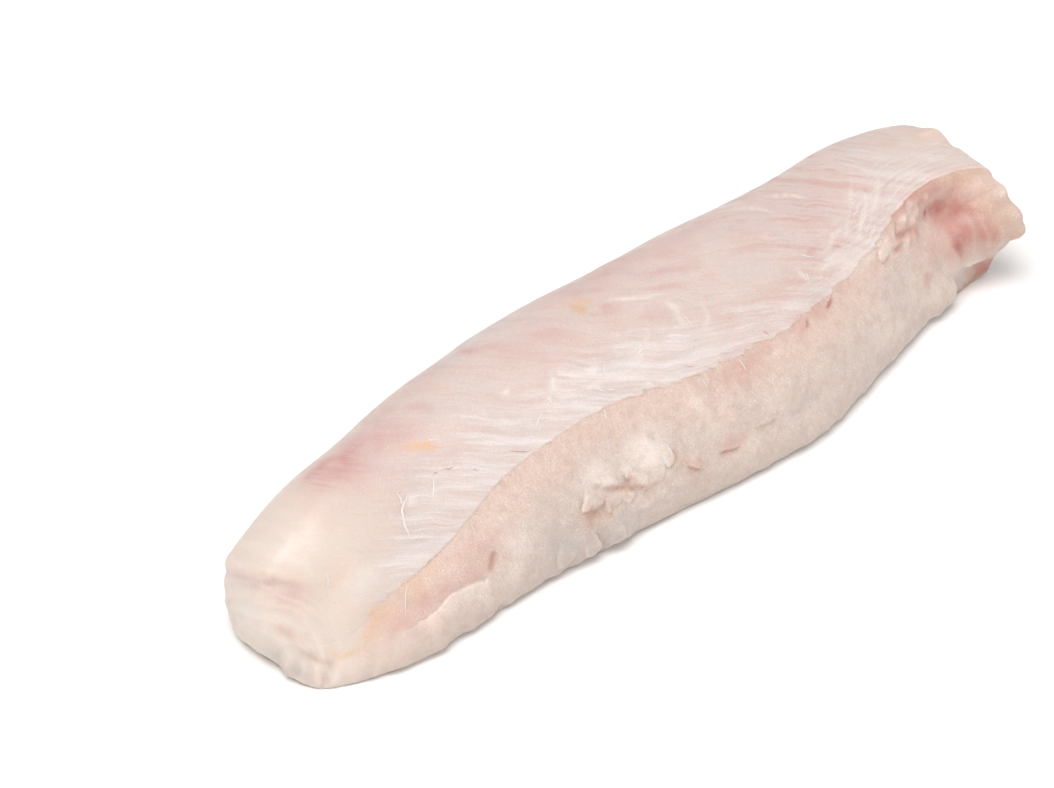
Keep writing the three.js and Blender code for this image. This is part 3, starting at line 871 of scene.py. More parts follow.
@dataclass(frozen=True)
class LoinForm:
    """The plain form of the loin, lofted through cross-sections along X."""

    section: SectionShape
    ends: EndShape
    hem: HemShape
    fine: Fineness
    unevenness: Unevenness

    @staticmethod
    def lines(x: np.ndarray) -> np.ndarray:
        """Reads the carrying lines, smoothly between the stations.

        Args:
            x: Places along the length.

        Returns:
            One row for each line: foot y, edge y, edge z, crest y, crest z and back y.
        """
        table = np.array([astuple(station) for station in STATIONS], float)
        knots, values = table[:, 0], table[:, 1:]
        slopes = np.diff(values, axis=0) / np.diff(knots)[:, None]
        tangents = np.concatenate([slopes[:1], (slopes[1:] + slopes[:-1]) / 2.0, slopes[-1:]])
        i = np.clip(np.searchsorted(knots, x, side="right") - 1, 0, len(knots) - 2)
        gap = (knots[i + 1] - knots[i])[:, None]
        t = np.clip((x - knots[i])[:, None] / gap, 0.0, 1.0)
        start = (1.0 + 2.0 * t) * (1.0 - t) ** 2 * values[i] + t * (1.0 - t) ** 2 * gap * tangents[i]
        end = t * t * (3.0 - 2.0 * t) * values[i + 1] + t * t * (t - 1.0) * gap * tangents[i + 1]
        return (start + end).T

    def places(self) -> tuple[np.ndarray, np.ndarray]:
        """Lays out the rings along the length.

        Returns:
            Place of each ring, and the share of the full cross-section that it keeps.
        """
        e, f = self.ends, self.fine
        near, far = (np.sin(np.arange(1, n) / n * (math.pi / 2.0)) for n in (f.near_end, f.far_end))
        near_inset, far_inset = (1.0 - (1.0 - s**e.bluntness) ** (1.0 / e.bluntness) for s in (near, far))
        even = np.linspace(e.near_x + e.near_rounding, e.far_x - e.far_rounding, f.trace)
        closeness = np.ones_like(even)
        for start, end in f.torn:
            inside = ease(start - f.torn_fade, start, even) * ease(end + f.torn_fade, end, even)
            closeness = closeness + f.torn_extra * inside
        run = np.concatenate([[0.0], np.cumsum((closeness[1:] + closeness[:-1]) / 2.0)])
        body = np.interp(np.linspace(0.0, run[-1], f.body), run, even)
        first = e.near_x + e.near_rounding * near_inset
        last = e.far_x - e.far_rounding * far_inset
        x = np.concatenate([first, body, last[::-1]])
        return x, np.concatenate([near, np.ones(len(body)), far[::-1]])

    def edge_shift(self, x: np.ndarray) -> np.ndarray:
        """How far the torn sheath edge strays from its line, in steps where its bundles of fibres end.

        Args:
            x: Places along the length.

        Returns:
            Shifts in millimetres, up the sheath where positive.
        """
        h = self.hem
        draw = np.random.default_rng(h.seed)
        widths = draw.uniform(h.narrow, h.wide, h.teeth)
        starts = x.min() - h.wide + np.cumsum(widths)
        heights = draw.uniform(h.low, h.high, h.teeth)
        tooth = np.clip(np.searchsorted(starts, x) - 1, 0, h.teeth - 1)
        phase = np.clip((x - starts[tooth]) / widths[np.minimum(tooth + 1, h.teeth - 1)], 0.0, 1.0)
        torn = h.calm + (1.0 - h.calm) * ease(*h.torn_from, x) * (1.0 - ease(*h.torn_to, x))
        spot = np.stack([x, np.zeros_like(x), np.zeros_like(x)], -1)
        noise = self.unevenness.at
        stray = h.slow * noise(spot, h.slow_width) + h.fine * noise(spot, h.fine_width)
        return torn * (heights[tooth] * (0.5 - phase) + stray)

    def traces(self, x: np.ndarray) -> dict[Stretch, tuple[np.ndarray, np.ndarray]]:
        """Traces each stretch of the cross-sections finely.

        Args:
            x: Places of the cross-sections.

        Returns:
            The y and z of each stretch, one row for each cross-section.
        """
        s = self.section
        foot, edge_y, edge_z, crest_y, crest_z, back = (line[:, None] for line in self.lines(x))
        t = np.linspace(0.0, 1.0, self.fine.trace)[None, :]
        wall_z = edge_z * t
        curl = s.foot_curl * np.clip(1.0 - wall_z / s.foot_curl_height, 0.0, None) ** 2
        wall_y = foot + (edge_y - foot) * t**s.wall_lean + curl
        sheath_y = edge_y + (crest_y - edge_y) * t
        sheath_z = edge_z + (crest_z - edge_z) * (1.0 - (1.0 - t) ** 2)
        turn = t * math.pi / 2.0
        waist = s.back_waist * crest_z
        power = 2.0 / s.back_fullness
        shoulder_y = crest_y + (back - crest_y) * np.sin(turn) ** power
        shoulder_z = waist + (crest_z - waist) * np.clip(np.cos(turn), 0.0, None) ** power
        flank_y = back - s.back_tuck * (1.0 - np.cos(turn))
        flank_z = waist * (1.0 - np.sin(turn))
        under_y = (back - s.back_tuck) + (foot + s.foot_curl - back + s.back_tuck) * t
        return {
            Stretch.WALL: (wall_y, wall_z),
            Stretch.SHEATH: (sheath_y, sheath_z),
            Stretch.BACK: (np.hstack([shoulder_y, flank_y[:, 1:]]), np.hstack([shoulder_z, flank_z[:, 1:]])),
            Stretch.UNDERSIDE: (under_y, np.zeros_like(under_y)),
        }

    @staticmethod
    def spread(y: np.ndarray, z: np.ndarray, start: float, end: float, count: int) -> np.ndarray:
        """Spreads points evenly along part of a traced line.

        Args:
            y: First coordinate of the trace.
            z: Second coordinate of the trace.
            start: Run along the trace where the points begin.
            end: Run where they would end; the last point is left to the next stretch.
            count: Number of points.

        Returns:
            The points, and their run along the trace, as three columns.
        """
        run = np.concatenate([[0.0], np.cumsum(np.hypot(np.diff(y), np.diff(z)))])
        goal = start + (end - start) * np.arange(count) / count
        return np.stack([np.interp(goal, run, y), np.interp(goal, run, z), goal], -1)

    def ring(self, traces: dict[Stretch, tuple[np.ndarray, np.ndarray]], i: int, shift: float) -> np.ndarray:
        """Lays the points of one cross-section.

        Args:
            traces: Fine traces of all cross-sections.
            i: Number of the cross-section.
            shift: How far the sheath edge strays up the sheath.

        Returns:
            Columns y, z, distance past the sheath edge and height up from the foot.
        """
        f = self.fine
        wall_y, wall_z = (a[i] for a in traces[Stretch.WALL])
        sheath_y, sheath_z = (a[i] for a in traces[Stretch.SHEATH])
        y = np.concatenate([wall_y, sheath_y[1:]])
        z = np.concatenate([wall_z, sheath_z[1:]])
        edge = np.hypot(np.diff(wall_y), np.diff(wall_z)).sum() + shift
        whole = np.hypot(np.diff(y), np.diff(z)).sum()
        wall = self.spread(y, z, 0.0, edge, f.wall)
        sheath = self.spread(y, z, edge, whole, f.sheath)
        back_y, back_z = (a[i] for a in traces[Stretch.BACK])
        back_run = np.hypot(np.diff(back_y), np.diff(back_z)).sum()
        back = self.spread(back_y, back_z, 0.0, back_run, f.back) + np.array([0.0, 0.0, whole])
        under_y, under_z = (a[i] for a in traces[Stretch.UNDERSIDE])
        under = self.spread(under_y, under_z, 0.0, abs(under_y[-1] - under_y[0]), f.underside)
        under[:, 2] += whole + back_run
        whole_ring = np.concatenate([wall, sheath, back, under])
        return np.column_stack([whole_ring[:, :2], whole_ring[:, 2] - edge, whole_ring[:, 2]])

    def bend_ends(self, points: np.ndarray) -> np.ndarray:
        """Leans the near corner back and pushes the far rim out.

        Args:
            points: Points of the lofted rings.

        Returns:
            The bent points.
        """
        e = self.ends
        x, y, z = np.moveaxis(points, -1, 0)
        near = 1.0 - ease(e.near_x, e.near_x + e.near_lean_run, x)
        far = ease(e.far_x - e.rim_run, e.far_x - e.rim_full, x)
        rim = far * np.exp(-(((z - e.rim_z) / e.rim_spread) ** 2)) * ease(e.rim_from_y, e.rim_full_y, y)
        lean = near * e.near_lean * z * ease(e.lean_from_y, e.lean_full_y, y)
        return np.stack([x + lean + rim * e.rim_forward, y - rim * e.rim_out, z], -1)

    def surface(self) -> Surface:
        """Lofts the rings.

        Returns:
            The plain surface, with the outward direction at each point.
        """
        x, share = self.places()
        traces = self.traces(x)
        shift = self.edge_shift(x)
        rings = np.array([self.ring(traces, i, shift[i]) for i in range(len(x))])
        y, z, across, up = np.moveaxis(rings, -1, 0)
        middle = (y.min(1) + y.max(1))[:, None] / 2.0
        y = middle + (y - middle) * share[:, None]
        z = self.ends.core_z + (z - self.ends.core_z) * share[:, None]
        points = self.bend_ends(np.stack([np.broadcast_to(x[:, None], y.shape), y, z], -1))
        return Surface(points, self.outward(points), across, up)

    def sheathed(self, surface: Surface) -> np.ndarray:
        """Share of sheath over the surface, which turns down the blunt end and stops at the far cut face.

        Args:
            surface: The plain form.

        Returns:
            Shares from 0 on the cut wall and the far face to 1 on the sheath.
        """
        x, _, z = np.moveaxis(surface.points, -1, 0)
        corner_x, corner_z = np.array(self.hem.corner, float).T
        soft = self.hem.corner_softness
        turned = ease(-soft, soft, z - np.interp(x, corner_x, corner_z))
        wall = np.where(x < corner_x[-1], turned, 0.0)
        covered = np.where(np.arange(x.shape[1]) < self.fine.wall, wall, 1.0)
        return covered * (1.0 - ease(*self.hem.face_turn, surface.outward[..., 0]))

    @staticmethod
    def outward(points: np.ndarray) -> np.ndarray:
        """Finds the outward directions over a grid of rings.

        Args:
            points: Points of the rings.

        Returns:
            One direction of length 1 for each point.
        """
        ahead = np.gradient(points, axis=0)
        beside = np.roll(points, -1, 1) - np.roll(points, 1, 1)
        normal = np.cross(ahead, beside)
        return normal / np.maximum(np.linalg.norm(normal, axis=-1, keepdims=True), NO_LENGTH)


@dataclass(frozen=True)
class ReliefSizes:
    """Heights and widths of the fine relief."""

    floor_z: float = 0.2
    full_z: float = 2.2
    warp: float = 0.55
    warp_width: float = 4.0
    fine_warp: float = 0.25
    fine_warp_width: float = 1.3
    lip: float = 0.2
    lip_width: float = 2.0
    undercut: float = 0.18
    undercut_width: float = 1.2
    slow: float = 0.45
    slow_width: float = 15.0
    wave: float = 0.17
    wave_width: float = 5.0
    sheath_wave: float = 0.4
    ripple: float = 0.05
    ripple_width: Point = (1.0, 1.4, 1.0)
    grain: float = 0.05
    grain_width: float = 0.9
    torn_rough: float = 0.28
    torn_rough_width: float = 2.2
    torn_share: Pair = (0.5, 1.0)
    hollow_torn: float = 0.6
    furrow_stray: float = 0.5
    foot_ragged: float = 0.75
    foot_ragged_width: float = 3.0
    foot_height: float = 7.0
    gutter: float = 0.2
    gutter_share: Pair = (0.5, 1.0)
    gutter_width: float = 0.9
    # share of painted shade in the gutters round the lobes
    gutter_shade: float = 0.55
    lobe_roundness: float = 0.6
    # where the painted highlight rises across a lobe, in shares of its radius
    lobe_rim: Pair = (0.3, 0.9)
    arc_centre: Point = (-114.0, 4.0, 5.0)
    arc_spacing: float = 3.4
    arc: float = 0.11
    arc_stray: float = 1.0
    arc_stray_width: float = 6.0
    arc_facing: Pair = (0.15, 0.6)
    arc_from: Pair = (4.0, 8.0)
    arc_pale: float = 0.3
    # how far the painted highlight behind a rim reaches
    highlight_reach: float = 2.2
    # how far the painted shade in front of a rim reaches
    crevice_shade_reach: float = 1.3


@dataclass(frozen=True)
class Relief:
    """The finished surface, with the paler layer arcs, painted highlight and painted shade in recesses that
    go with its relief.
    """

    points: np.ndarray
    pale_and_highlight: np.ndarray
    crevice: np.ndarray


@dataclass(frozen=True)
class LoinRelief:
    """Torn lobes and rims, furrows, lumps and fine unevenness on the plain form."""

    CLUMP = ((-26, -21, 11), (22, 14, 12))
    HOLLOW = ((92, -13, 22), (26, 14, 18))

    sizes: ReliefSizes
    run: FibreRun
    unevenness: Unevenness

    def fibres(self, points: np.ndarray, wall: np.ndarray) -> np.ndarray:
        """Place of points along and across the fibres, drawn out along them.

        Args:
            points: Points of the plain form.
            wall: Whether each point lies on the cut wall, where the fibres lie down the slope.

        Returns:
            Along, across and nought, the first pressed together, so that noise is drawn out along the fibres.
        """
        r = self.run
        right = points @ np.array(FIBRE_ALONG)
        rise = points @ np.array(FIBRE_ACROSS)
        arched = rise - r.arch * np.exp(-(((right - r.arch_at) / r.arch_width) ** 2))
        along = np.where(wall, r.wall_lie[0] * right + r.wall_lie[1] * rise, right)
        across = np.where(wall, r.wall_lie[0] * rise - r.wall_lie[1] * right, arched)
        across = across + r.stray * self.unevenness.at(points, r.stray_width)
        across = across + r.fine_stray * self.unevenness.at(points, r.fine_width, Part.FIBRE)
        return np.stack([along * r.stretch, across, np.zeros_like(along)], -1)

    def warped(self, points: np.ndarray) -> np.ndarray:
        """Strays points a little, so that no outline is a clean curve.

        Args:
            points: Points of the plain form.

        Returns:
            The strayed points.
        """
        s = self.sizes
        wide = [self.unevenness.at(points, s.warp_width, Part.WARP * (k + 1)) for k in range(3)]
        fine = [self.unevenness.at(points, s.fine_warp_width, Part.FINE_WARP * (k + 1)) for k in range(3)]
        return points + s.warp * np.stack(wide, -1) + s.fine_warp * np.stack(fine, -1)

    @staticmethod
    def swellings(points: np.ndarray) -> np.ndarray:
        """Raises the rounded rises and sinks the dips.

        Args:
            points: Points of the plain form.

        Returns:
            Summed heights.
        """
        height = np.zeros(len(points))
        for swelling in SWELLINGS:
            near = close_to(points, (swelling.at,), max(swelling.reach))
            away = away_from_point(points[near], swelling.at, swelling.reach)
            height[near] += swelling.rise * (1.0 - ease(swelling.level, 1.0, away))
        return height

    @staticmethod
    def creases(points: np.ndarray, outward: np.ndarray) -> tuple[np.ndarray, np.ndarray]:
        """Sinks the furrows.

        Args:
            points: Points of the plain form, strayed.
            outward: Outward directions.

        Returns:
            Summed depth as negative heights, and the share of painted shade at the bottom of the furrows at
            each point.
        """
        height, shade_share = np.zeros((2, len(points)))
        for crease in CREASES:
            near = close_to(points, crease.line, FADED * crease.width)
            away, share, _ = against_line(points[near], outward[near], settled(points, crease.line))
            profile = np.exp(-((away / crease.width) ** 2))
            height[near] -= (crease.start + (crease.end - crease.start) * share) * profile
            shade_share[near] = np.maximum(shade_share[near], crease.shade * profile)
        return height, shade_share

    def rims(self, points: np.ndarray, outward: np.ndarray) -> tuple[np.ndarray, np.ndarray, np.ndarray]:
        """Raises the flesh behind each torn rim and sinks it in front.

        Args:
            points: Points of the plain form, strayed.
            outward: Outward directions.

        Returns:
            Heights, the share of painted highlight on the torn edge and the share of painted shade in front
            of it.
        """
        s = self.sizes
        height, pale_and_highlight, crevice = np.zeros((3, len(points)))
        for rim in RIMS:
            near = close_to(points, rim.line, max(rim.back, rim.front))
            away, share, side = against_line(points[near], outward[near], settled(points, rim.line))
            weight = ease(0.0, max(rim.start, TINY), share) * ease(1.0, 1.0 - max(rim.end, TINY), share)
            behind = side > 0.0
            proud = rim.rise * (1.0 - ease(0.0, rim.back, away))
            sunk = -rim.dip * (1.0 - ease(0.0, rim.front, away))
            step = ease(-rim.soft, rim.soft, np.where(behind, away, -away))
            height[near] += weight * (sunk + (proud - sunk) * step)
            # painted highlight on the proud side of the rim
            edge = weight * np.exp(-((away / s.highlight_reach) ** 2)) * rim.pale_and_highlight
            pale_and_highlight[near] = np.maximum(pale_and_highlight[near], np.where(behind, edge, 0.0))
            # painted shade in front of the rim
            shade = weight * np.exp(-((away / s.crevice_shade_reach) ** 2)) * rim.shade
            crevice[near] = np.maximum(crevice[near], np.where(behind, 0.0, shade))
        return height, pale_and_highlight, crevice

    def lobes(self, points: np.ndarray, outward: np.ndarray) -> tuple[np.ndarray, np.ndarray, np.ndarray]:
        """Raises the torn lobes, each with a gutter round it.

        Args:
            points: Points of the plain form, strayed.
            outward: Outward directions.

        Returns:
            Heights, the share of painted highlight round each lobe's edge and the share of painted shade in
            the gutter round it.
        """
        s = self.sizes
        top, pale_and_highlight, depth = np.zeros((3, len(points)))
        outside = np.full(len(points), np.inf)
        for lobe in LOBES:
            near = close_to(points, lobe.line, lobe.radius + FADED * s.gutter_width)
            away, share, _ = against_line(points[near], outward[near], settled(points, lobe.line))
            grown = ease(0.0, lobe.root, share)
            spread = away / lobe.radius
            height = lobe.rise * grown * np.clip(1.0 - spread**2, 0.0, None) ** s.lobe_roundness
            # painted highlight round the lobe's edge
            edge = lobe.pale_and_highlight * grown * ease(*s.lobe_rim, spread) * (spread < 1.0)
            pale_and_highlight[near] = np.where(height > top[near], edge, pale_and_highlight[near])
            top[near] = np.maximum(top[near], height)
            closer = away - lobe.radius < outside[near]
            depth[near] = np.where(closer, min(lobe.rise, 1.0) * ease(*s.gutter_share, share), depth[near])
            outside[near] = np.minimum(outside[near], away - lobe.radius)
        gutter = depth * np.exp(-((np.clip(outside, 0.0, None) / s.gutter_width) ** 2)) * (outside > 0.0)
        # the last share is painted shade in the gutters
        return top - s.gutter * gutter, pale_and_highlight, s.gutter_shade * gutter

    def torn(self, points: np.ndarray) -> np.ndarray:
        """Finds where the flesh is torn and ragged.

        Args:
            points: Points of the plain form.

        Returns:
            Shares from 0 to 1.
        """
        s = self.sizes
        clump = 1.0 - ease(*s.torn_share, away_from_point(points, *self.CLUMP))
        hollow = 1.0 - ease(*s.torn_share, away_from_point(points, *self.HOLLOW))
        return np.maximum(clump, s.hollow_torn * hollow)

    def arcs(self, points: np.ndarray, outward: np.ndarray) -> np.ndarray:
        """Draws the layers of flesh that show as arcs on the blunt end.

        Args:
            points: Points of the plain form.
            outward: Outward directions.

        Returns:
            Values from -1 to 1.
        """
        s = self.sizes
        away = away_from_point(points, s.arc_centre, (1.0, 1.0, 1.0))
        stray = s.arc_stray * self.unevenness.at(points, s.arc_stray_width)
        facing = ease(*s.arc_facing, -outward[:, 0]) * ease(*s.arc_from, away)
        return facing * np.sin((away + stray) * (2.0 * math.pi / s.arc_spacing))

    def fine(self, points: np.ndarray, across: np.ndarray, hemmed: np.ndarray) -> np.ndarray:
        """Height of the fine unevenness.

        Args:
            points: Points of the plain form.
            across: Their distance past the sheath edge.
            hemmed: Share of a raised sheath edge.

        Returns:
            Heights in millimetres.
        """
        s = self.sizes
        noise = self.unevenness.at
        wall = across < 0.0
        slow = s.slow * noise(points, s.slow_width)
        wave = s.wave * np.where(wall, 1.0, s.sheath_wave) * noise(points, s.wave_width, Part.WAVE)
        ripple = s.ripple * ~wall * noise(self.fibres(points, wall), s.ripple_width)
        grain = s.grain * wall * noise(points, s.grain_width)
        rough = s.torn_rough * self.torn(points) * wall * noise(points, s.torn_rough_width, Part.TORN)
        foot = 1.0 - ease(0.0, s.foot_height, points[:, 2])
        ragged = s.foot_ragged * foot * noise(points, s.foot_ragged_width, Part.FOOT)
        on_sheath = across >= -TINY
        lip = s.lip * np.exp(-np.clip(across, 0.0, None) / s.lip_width) * on_sheath
        under = s.undercut * np.exp(np.clip(across, None, 0.0) / s.undercut_width) * ~on_sheath
        return slow + wave + ripple + grain + rough + ragged + (lip - under) * hemmed

    def raised(self, surface: Surface, hem: HemShape) -> Relief:
        """Raises the relief on the plain form.

        Args:
            surface: The plain form.
            hem: Where the raised sheath edge begins.

        Returns:
            The finished points, with the paler layer arcs, painted highlight and painted shade in recesses
            that go with them.
        """
        s = self.sizes
        p = surface.points.reshape(-1, 3)
        outward = surface.outward.reshape(-1, 3)
        strayed = self.warped(p)
        rims, rim_pale, rim_shade = self.rims(strayed, outward)
        lobes, lobe_pale, lobe_shade = self.lobes(strayed, outward)
        creases, furrow = self.creases(p + s.furrow_stray * (strayed - p), outward)
        hemmed = ease(hem.fade_from, hem.fade_to, p[:, 0])
        arcs = self.arcs(p, outward)
        height = rims + lobes + creases + s.arc * arcs + self.swellings(p)
        height += self.fine(p, surface.across.ravel(), hemmed)
        points = p + outward * (height * ease(s.floor_z, s.full_z, p[:, 2]))[:, None]
        points[:, 2] = np.maximum(points[:, 2], 0.0)
        shape = surface.points.shape
        # paler layer arcs, with painted highlight on rims and lobes
        pale_and_highlight = np.maximum(np.maximum(rim_pale, lobe_pale), s.arc_pale * arcs).reshape(shape[:2])
        # painted shade from rims, lobe gutters and furrows
        crevice = np.maximum(np.maximum(rim_shade, lobe_shade), furrow).reshape(shape[:2])
        return Relief(points.reshape(shape), pale_and_highlight, crevice)


def linear(code: str) -> Colour:
    """Turns a screen colour into a shader colour.

    Args:
        code: Screen colour, such as #EAD7CA.

    Returns:
        Red, green, blue and full cover, in even steps of light.
    """
    parts = [int(code[i : i + 2], 16) / 255.0 for i in (1, 3, 5)]
    shades = [c / 12.92 if c <= 0.04045 else ((c + 0.055) / 1.055) ** 2.4 for c in parts]
    return (shades[0], shades[1], shades[2], 1.0)


class Rise(NamedTuple):
    """How a value counts: smoothly from rest, where it is at start, to full, where it is at end."""

    start: float
    end: float
    full: float = 1.0
    rest: float = 0.0


class Noise(NamedTuple):
    """A soft noise: its bumps in one unit of length, its finer layers and how strong they are."""

    scale: float
    detail: float = 2.0
    rough: float = 0.5


@dataclass(frozen=True)
class Tone:
    """A shader socket that takes part in plain arithmetic, with the bench that its node stands on."""

    bench: "Bench"
    socket: bpy.types.NodeSocket | None

    def maths(self, operation: str, first: Any, second: Any) -> "Tone":
        """Adds a Math node for one operation on two values."""
        return self.bench.add("ShaderNodeMath", {"operation": operation}, {0: first, 1: second})

    def __add__(self, other: Any) -> "Tone":
        """Sum of two values."""
        return self.maths("ADD", self, other)

    def __radd__(self, other: Any) -> "Tone":
        """Sum with a plain number first."""
        return self.maths("ADD", other, self)

    def __sub__(self, other: Any) -> "Tone":
        """Difference of two values."""
        return self.maths("SUBTRACT", self, other)

    def __rsub__(self, other: Any) -> "Tone":
        """Difference with a plain number first."""
        return self.maths("SUBTRACT", other, self)

    def __mul__(self, other: Any) -> "Tone":
        """Product of two values."""
        return self.maths("MULTIPLY", self, other)

    def __rmul__(self, other: Any) -> "Tone":
        """Product with a plain number first."""
        return self.maths("MULTIPLY", other, self)

    def rise(self, by: Rise) -> "Tone":
        """What the value counts, by a rise."""
        ends = {"From Min": by.start, "From Max": by.end, "To Min": by.rest, "To Max": by.full}
        return self.bench.add("ShaderNodeMapRange", SMOOTH, {"Value": self, **ends})

    def between(self, low: float, high: float = 1.0) -> "Tone":
        """Goes from low to high as the value goes from 0 to 1."""
        return low + (high - low) * self

    def swing(self, width: float) -> "Tone":
        """Strays to both sides of nought as a noise strays from its middle."""
        return (self - NOISE_MIDDLE) * width


class Bench:
    """A node tree, with one way to add any node."""

    def __init__(self, tree: bpy.types.NodeTree) -> None:
        """Takes over a tree and clears it.

        Args:
            tree: Tree to build in.
        """
        self.tree = tree
        self.tree.nodes.clear()

    @staticmethod
    def find(sockets: Any, key: str | int) -> bpy.types.NodeSocket:
        """Finds a socket.

        Args:
            sockets: Sockets of one side of a node.
            key: Number, identifier or name of the socket.

        Returns:
            The socket.
        """
        if isinstance(key, int):
            return sockets[key]
        return next((s for s in sockets if s.identifier == key), None) or sockets[key]

    def add(
        self, kind: str, settings: dict[str, Any], inputs: dict[str | int, Any], out: str | int = 0
    ) -> Tone:
        """Adds a node.

        Args:
            kind: Blender's name of the node's type.
            settings: Properties of the node, set first.
            inputs: Values or tones for its sockets.
            out: Output to hand back.

        Returns:
            The chosen output.
        """
        node = self.tree.nodes.new(kind)
        for key, value in settings.items():
            setattr(node, key, value)
        for key, value in inputs.items():
            socket = self.find(node.inputs, key)
            if isinstance(value, Tone):
                self.tree.links.new(value.socket, socket)
            else:
                socket.default_value = value
        return Tone(self, self.find(node.outputs, out) if len(node.outputs) else None)


class MaterialBench(Bench):
    """The node tree of a new material."""

    def __init__(self, name: str) -> None:
        """Starts an empty material.

        Args:
            name: Name of the material.
        """
        self.material = bpy.data.materials.new(name)
        self.material.use_nodes = True
        super().__init__(self.material.node_tree)

    def mix(self, first: Any, second: Any, share: Any) -> Tone:
        """Mixes two colours.

        Args:
            first: Colour at share 0.
            second: Colour at share 1.
            share: Share of the second.

        Returns:
            The mixed colour.
        """
        settings = {"data_type": "RGBA", "clamp_factor": True}
        inputs = {"Factor_Float": share, "A_Color": first, "B_Color": second}
        return self.add("ShaderNodeMix", settings, inputs, "Result_Color")

    def layered(self, base: Any, *layers: tuple[Any, Any]) -> Tone:
        """Lays colours over a base.

        Args:
            base: Colour at the bottom.
            layers: Colours with their shares, from the lowest to the uppermost.

        Returns:
            The colour on top.
        """
        colour = base
        for layer, share in layers:
            colour = self.mix(colour, layer, share)
        return colour

    def mark(self, mark: Mark | Tint, out: str = "Fac") -> Tone:
        """Reads an attribute of the mesh."""
        return self.add("ShaderNodeAttribute", {"attribute_name": mark.value}, {}, out)

    def noise(self, place: Tone, kind: Noise) -> Tone:
        """Soft noise from 0 to 1 at a place."""
        inputs = {"Vector": place, "Scale": kind.scale, "Detail": kind.detail, "Roughness": kind.rough}
        return self.add("ShaderNodeTexNoise", {}, inputs, "Fac")

    def scaled(self, place: Tone, scale: Point) -> Tone:
        """A place drawn out or pressed along each axis."""
        return self.add("ShaderNodeVectorMath", {"operation": "MULTIPLY"}, {0: place, 1: scale})

    def place(self) -> Tone:
        """Place in the object's own frame."""
        return self.add("ShaderNodeTexCoord", {}, {}, "Object")

    def finish(self, surface: Tone) -> bpy.types.Material:
        """Feeds the material's surface and hands the material back."""
        self.add("ShaderNodeOutputMaterial", {}, {"Surface": surface})
        return self.material


class GeometryBench(Bench):
    """The node tree of a new Geometry Nodes group, with one geometry in and one out."""

    def __init__(self, name: str, inputs: dict[str, tuple[str, Any]]) -> None:
        """Starts a group.

        Args:
            name: Name of the group.
            inputs: Type and value of each named input besides the geometry.
        """
        group = bpy.data.node_groups.new(name, "GeometryNodeTree")
        super().__init__(group)
        group.interface.new_socket("Geometry", in_out="INPUT", socket_type="NodeSocketGeometry")
        group.interface.new_socket("Geometry", in_out="OUTPUT", socket_type="NodeSocketGeometry")
        self.values = {}
        for key, (kind, value) in inputs.items():
            socket = group.interface.new_socket(key, in_out="INPUT", socket_type=kind)
            self.values[socket.identifier] = value
        self.source = group.nodes.new("NodeGroupInput")

    def given(self, name: str) -> Tone:
        """One of the group's own inputs."""
        return Tone(self, self.source.outputs[name])

    def chance(self, least: Any, most: Any) -> Tone:
        """A random value for each point, between two others."""
        inputs = {"Min_001": least, "Max_001": most, "Seed": self.given("Seed")}
        return self.add("FunctionNodeRandomValue", {"data_type": "FLOAT"}, inputs, "Value_001")

    def named(self, name: str, kind: str) -> Tone:
        """An attribute of the geometry, by its name and type."""
        return self.add("GeometryNodeInputNamedAttribute", {"data_type": kind}, {"Name": name})

    def grow(self, geometry: Tone, holder: bpy.types.Object) -> bpy.types.Object:
        """Ends the group, runs it on an object and keeps the mesh that it grows.

        Args:
            geometry: Last geometry of the group.
            holder: Object to run it on; its mesh is swapped for the grown one.

        Returns:
            The same object, with the grown mesh and no modifier.
        """
        whole = self.add("GeometryNodeRealizeInstances", {}, {"Geometry": geometry})
        inputs = {"Geometry": whole, "Material": self.given("Finish")}
        dressed = self.add("GeometryNodeSetMaterial", {}, inputs)
        self.add("NodeGroupOutput", {}, {"Geometry": dressed})
        modifier = holder.modifiers.new(self.tree.name, "NODES")
        modifier.node_group = self.tree
        for identifier, value in self.values.items():
            modifier[identifier] = value
        ready = holder.evaluated_get(bpy.context.evaluated_depsgraph_get())
        grown = bpy.data.meshes.new_from_object(ready)
        holder.modifiers.remove(modifier)
        seed = holder.data
        holder.data = grown
        bpy.data.meshes.remove(seed)
        grown.name = holder.name
        grown.shade_smooth()
        return holder


@dataclass(frozen=True)
class Palette:
    """Colours of raw hake, with the colours of painted shade and painted highlight."""

    wall: Colour = linear("#CFBEB5")
    wall_pale: Colour = linear("#DACBBF")
    wall_top: Colour = linear("#D8C0B4")
    wall_foot: Colour = linear("#C3B5AC")
    wall_deep: Colour = linear("#C0A496")
    sheath: Colour = linear("#D4C2BA")
    sheath_cool: Colour = linear("#CDC1BD")
    pearl: Colour = linear("#D3C8C4")
    rosy: Colour = linear("#C9A59D")
    corner: Colour = linear("#DBCCC0")
    # bruise pink, and painted pink shade in the fold under the blunt end's lip
    blush: Colour = linear("#C48888")
    # warm pink of the flesh, and painted shadow under the overhanging sheath edge over the hollow
    salmon: Colour = linear("#C68C80")
    blood: Colour = linear("#A8544E")
    amber: Colour = linear("#DDB28A")
    # white of tissue, also the colour of painted highlight and glints
    chalk: Colour = linear("#E8DFD8")
    film: Colour = linear("#E4DBD9")
    # grey of translucent flesh, also painted shade beside the clump
    glassy: Colour = linear("#B8AFA9")
    # colour of the painted shade in recesses
    crevice: Colour = linear("#B5876D")


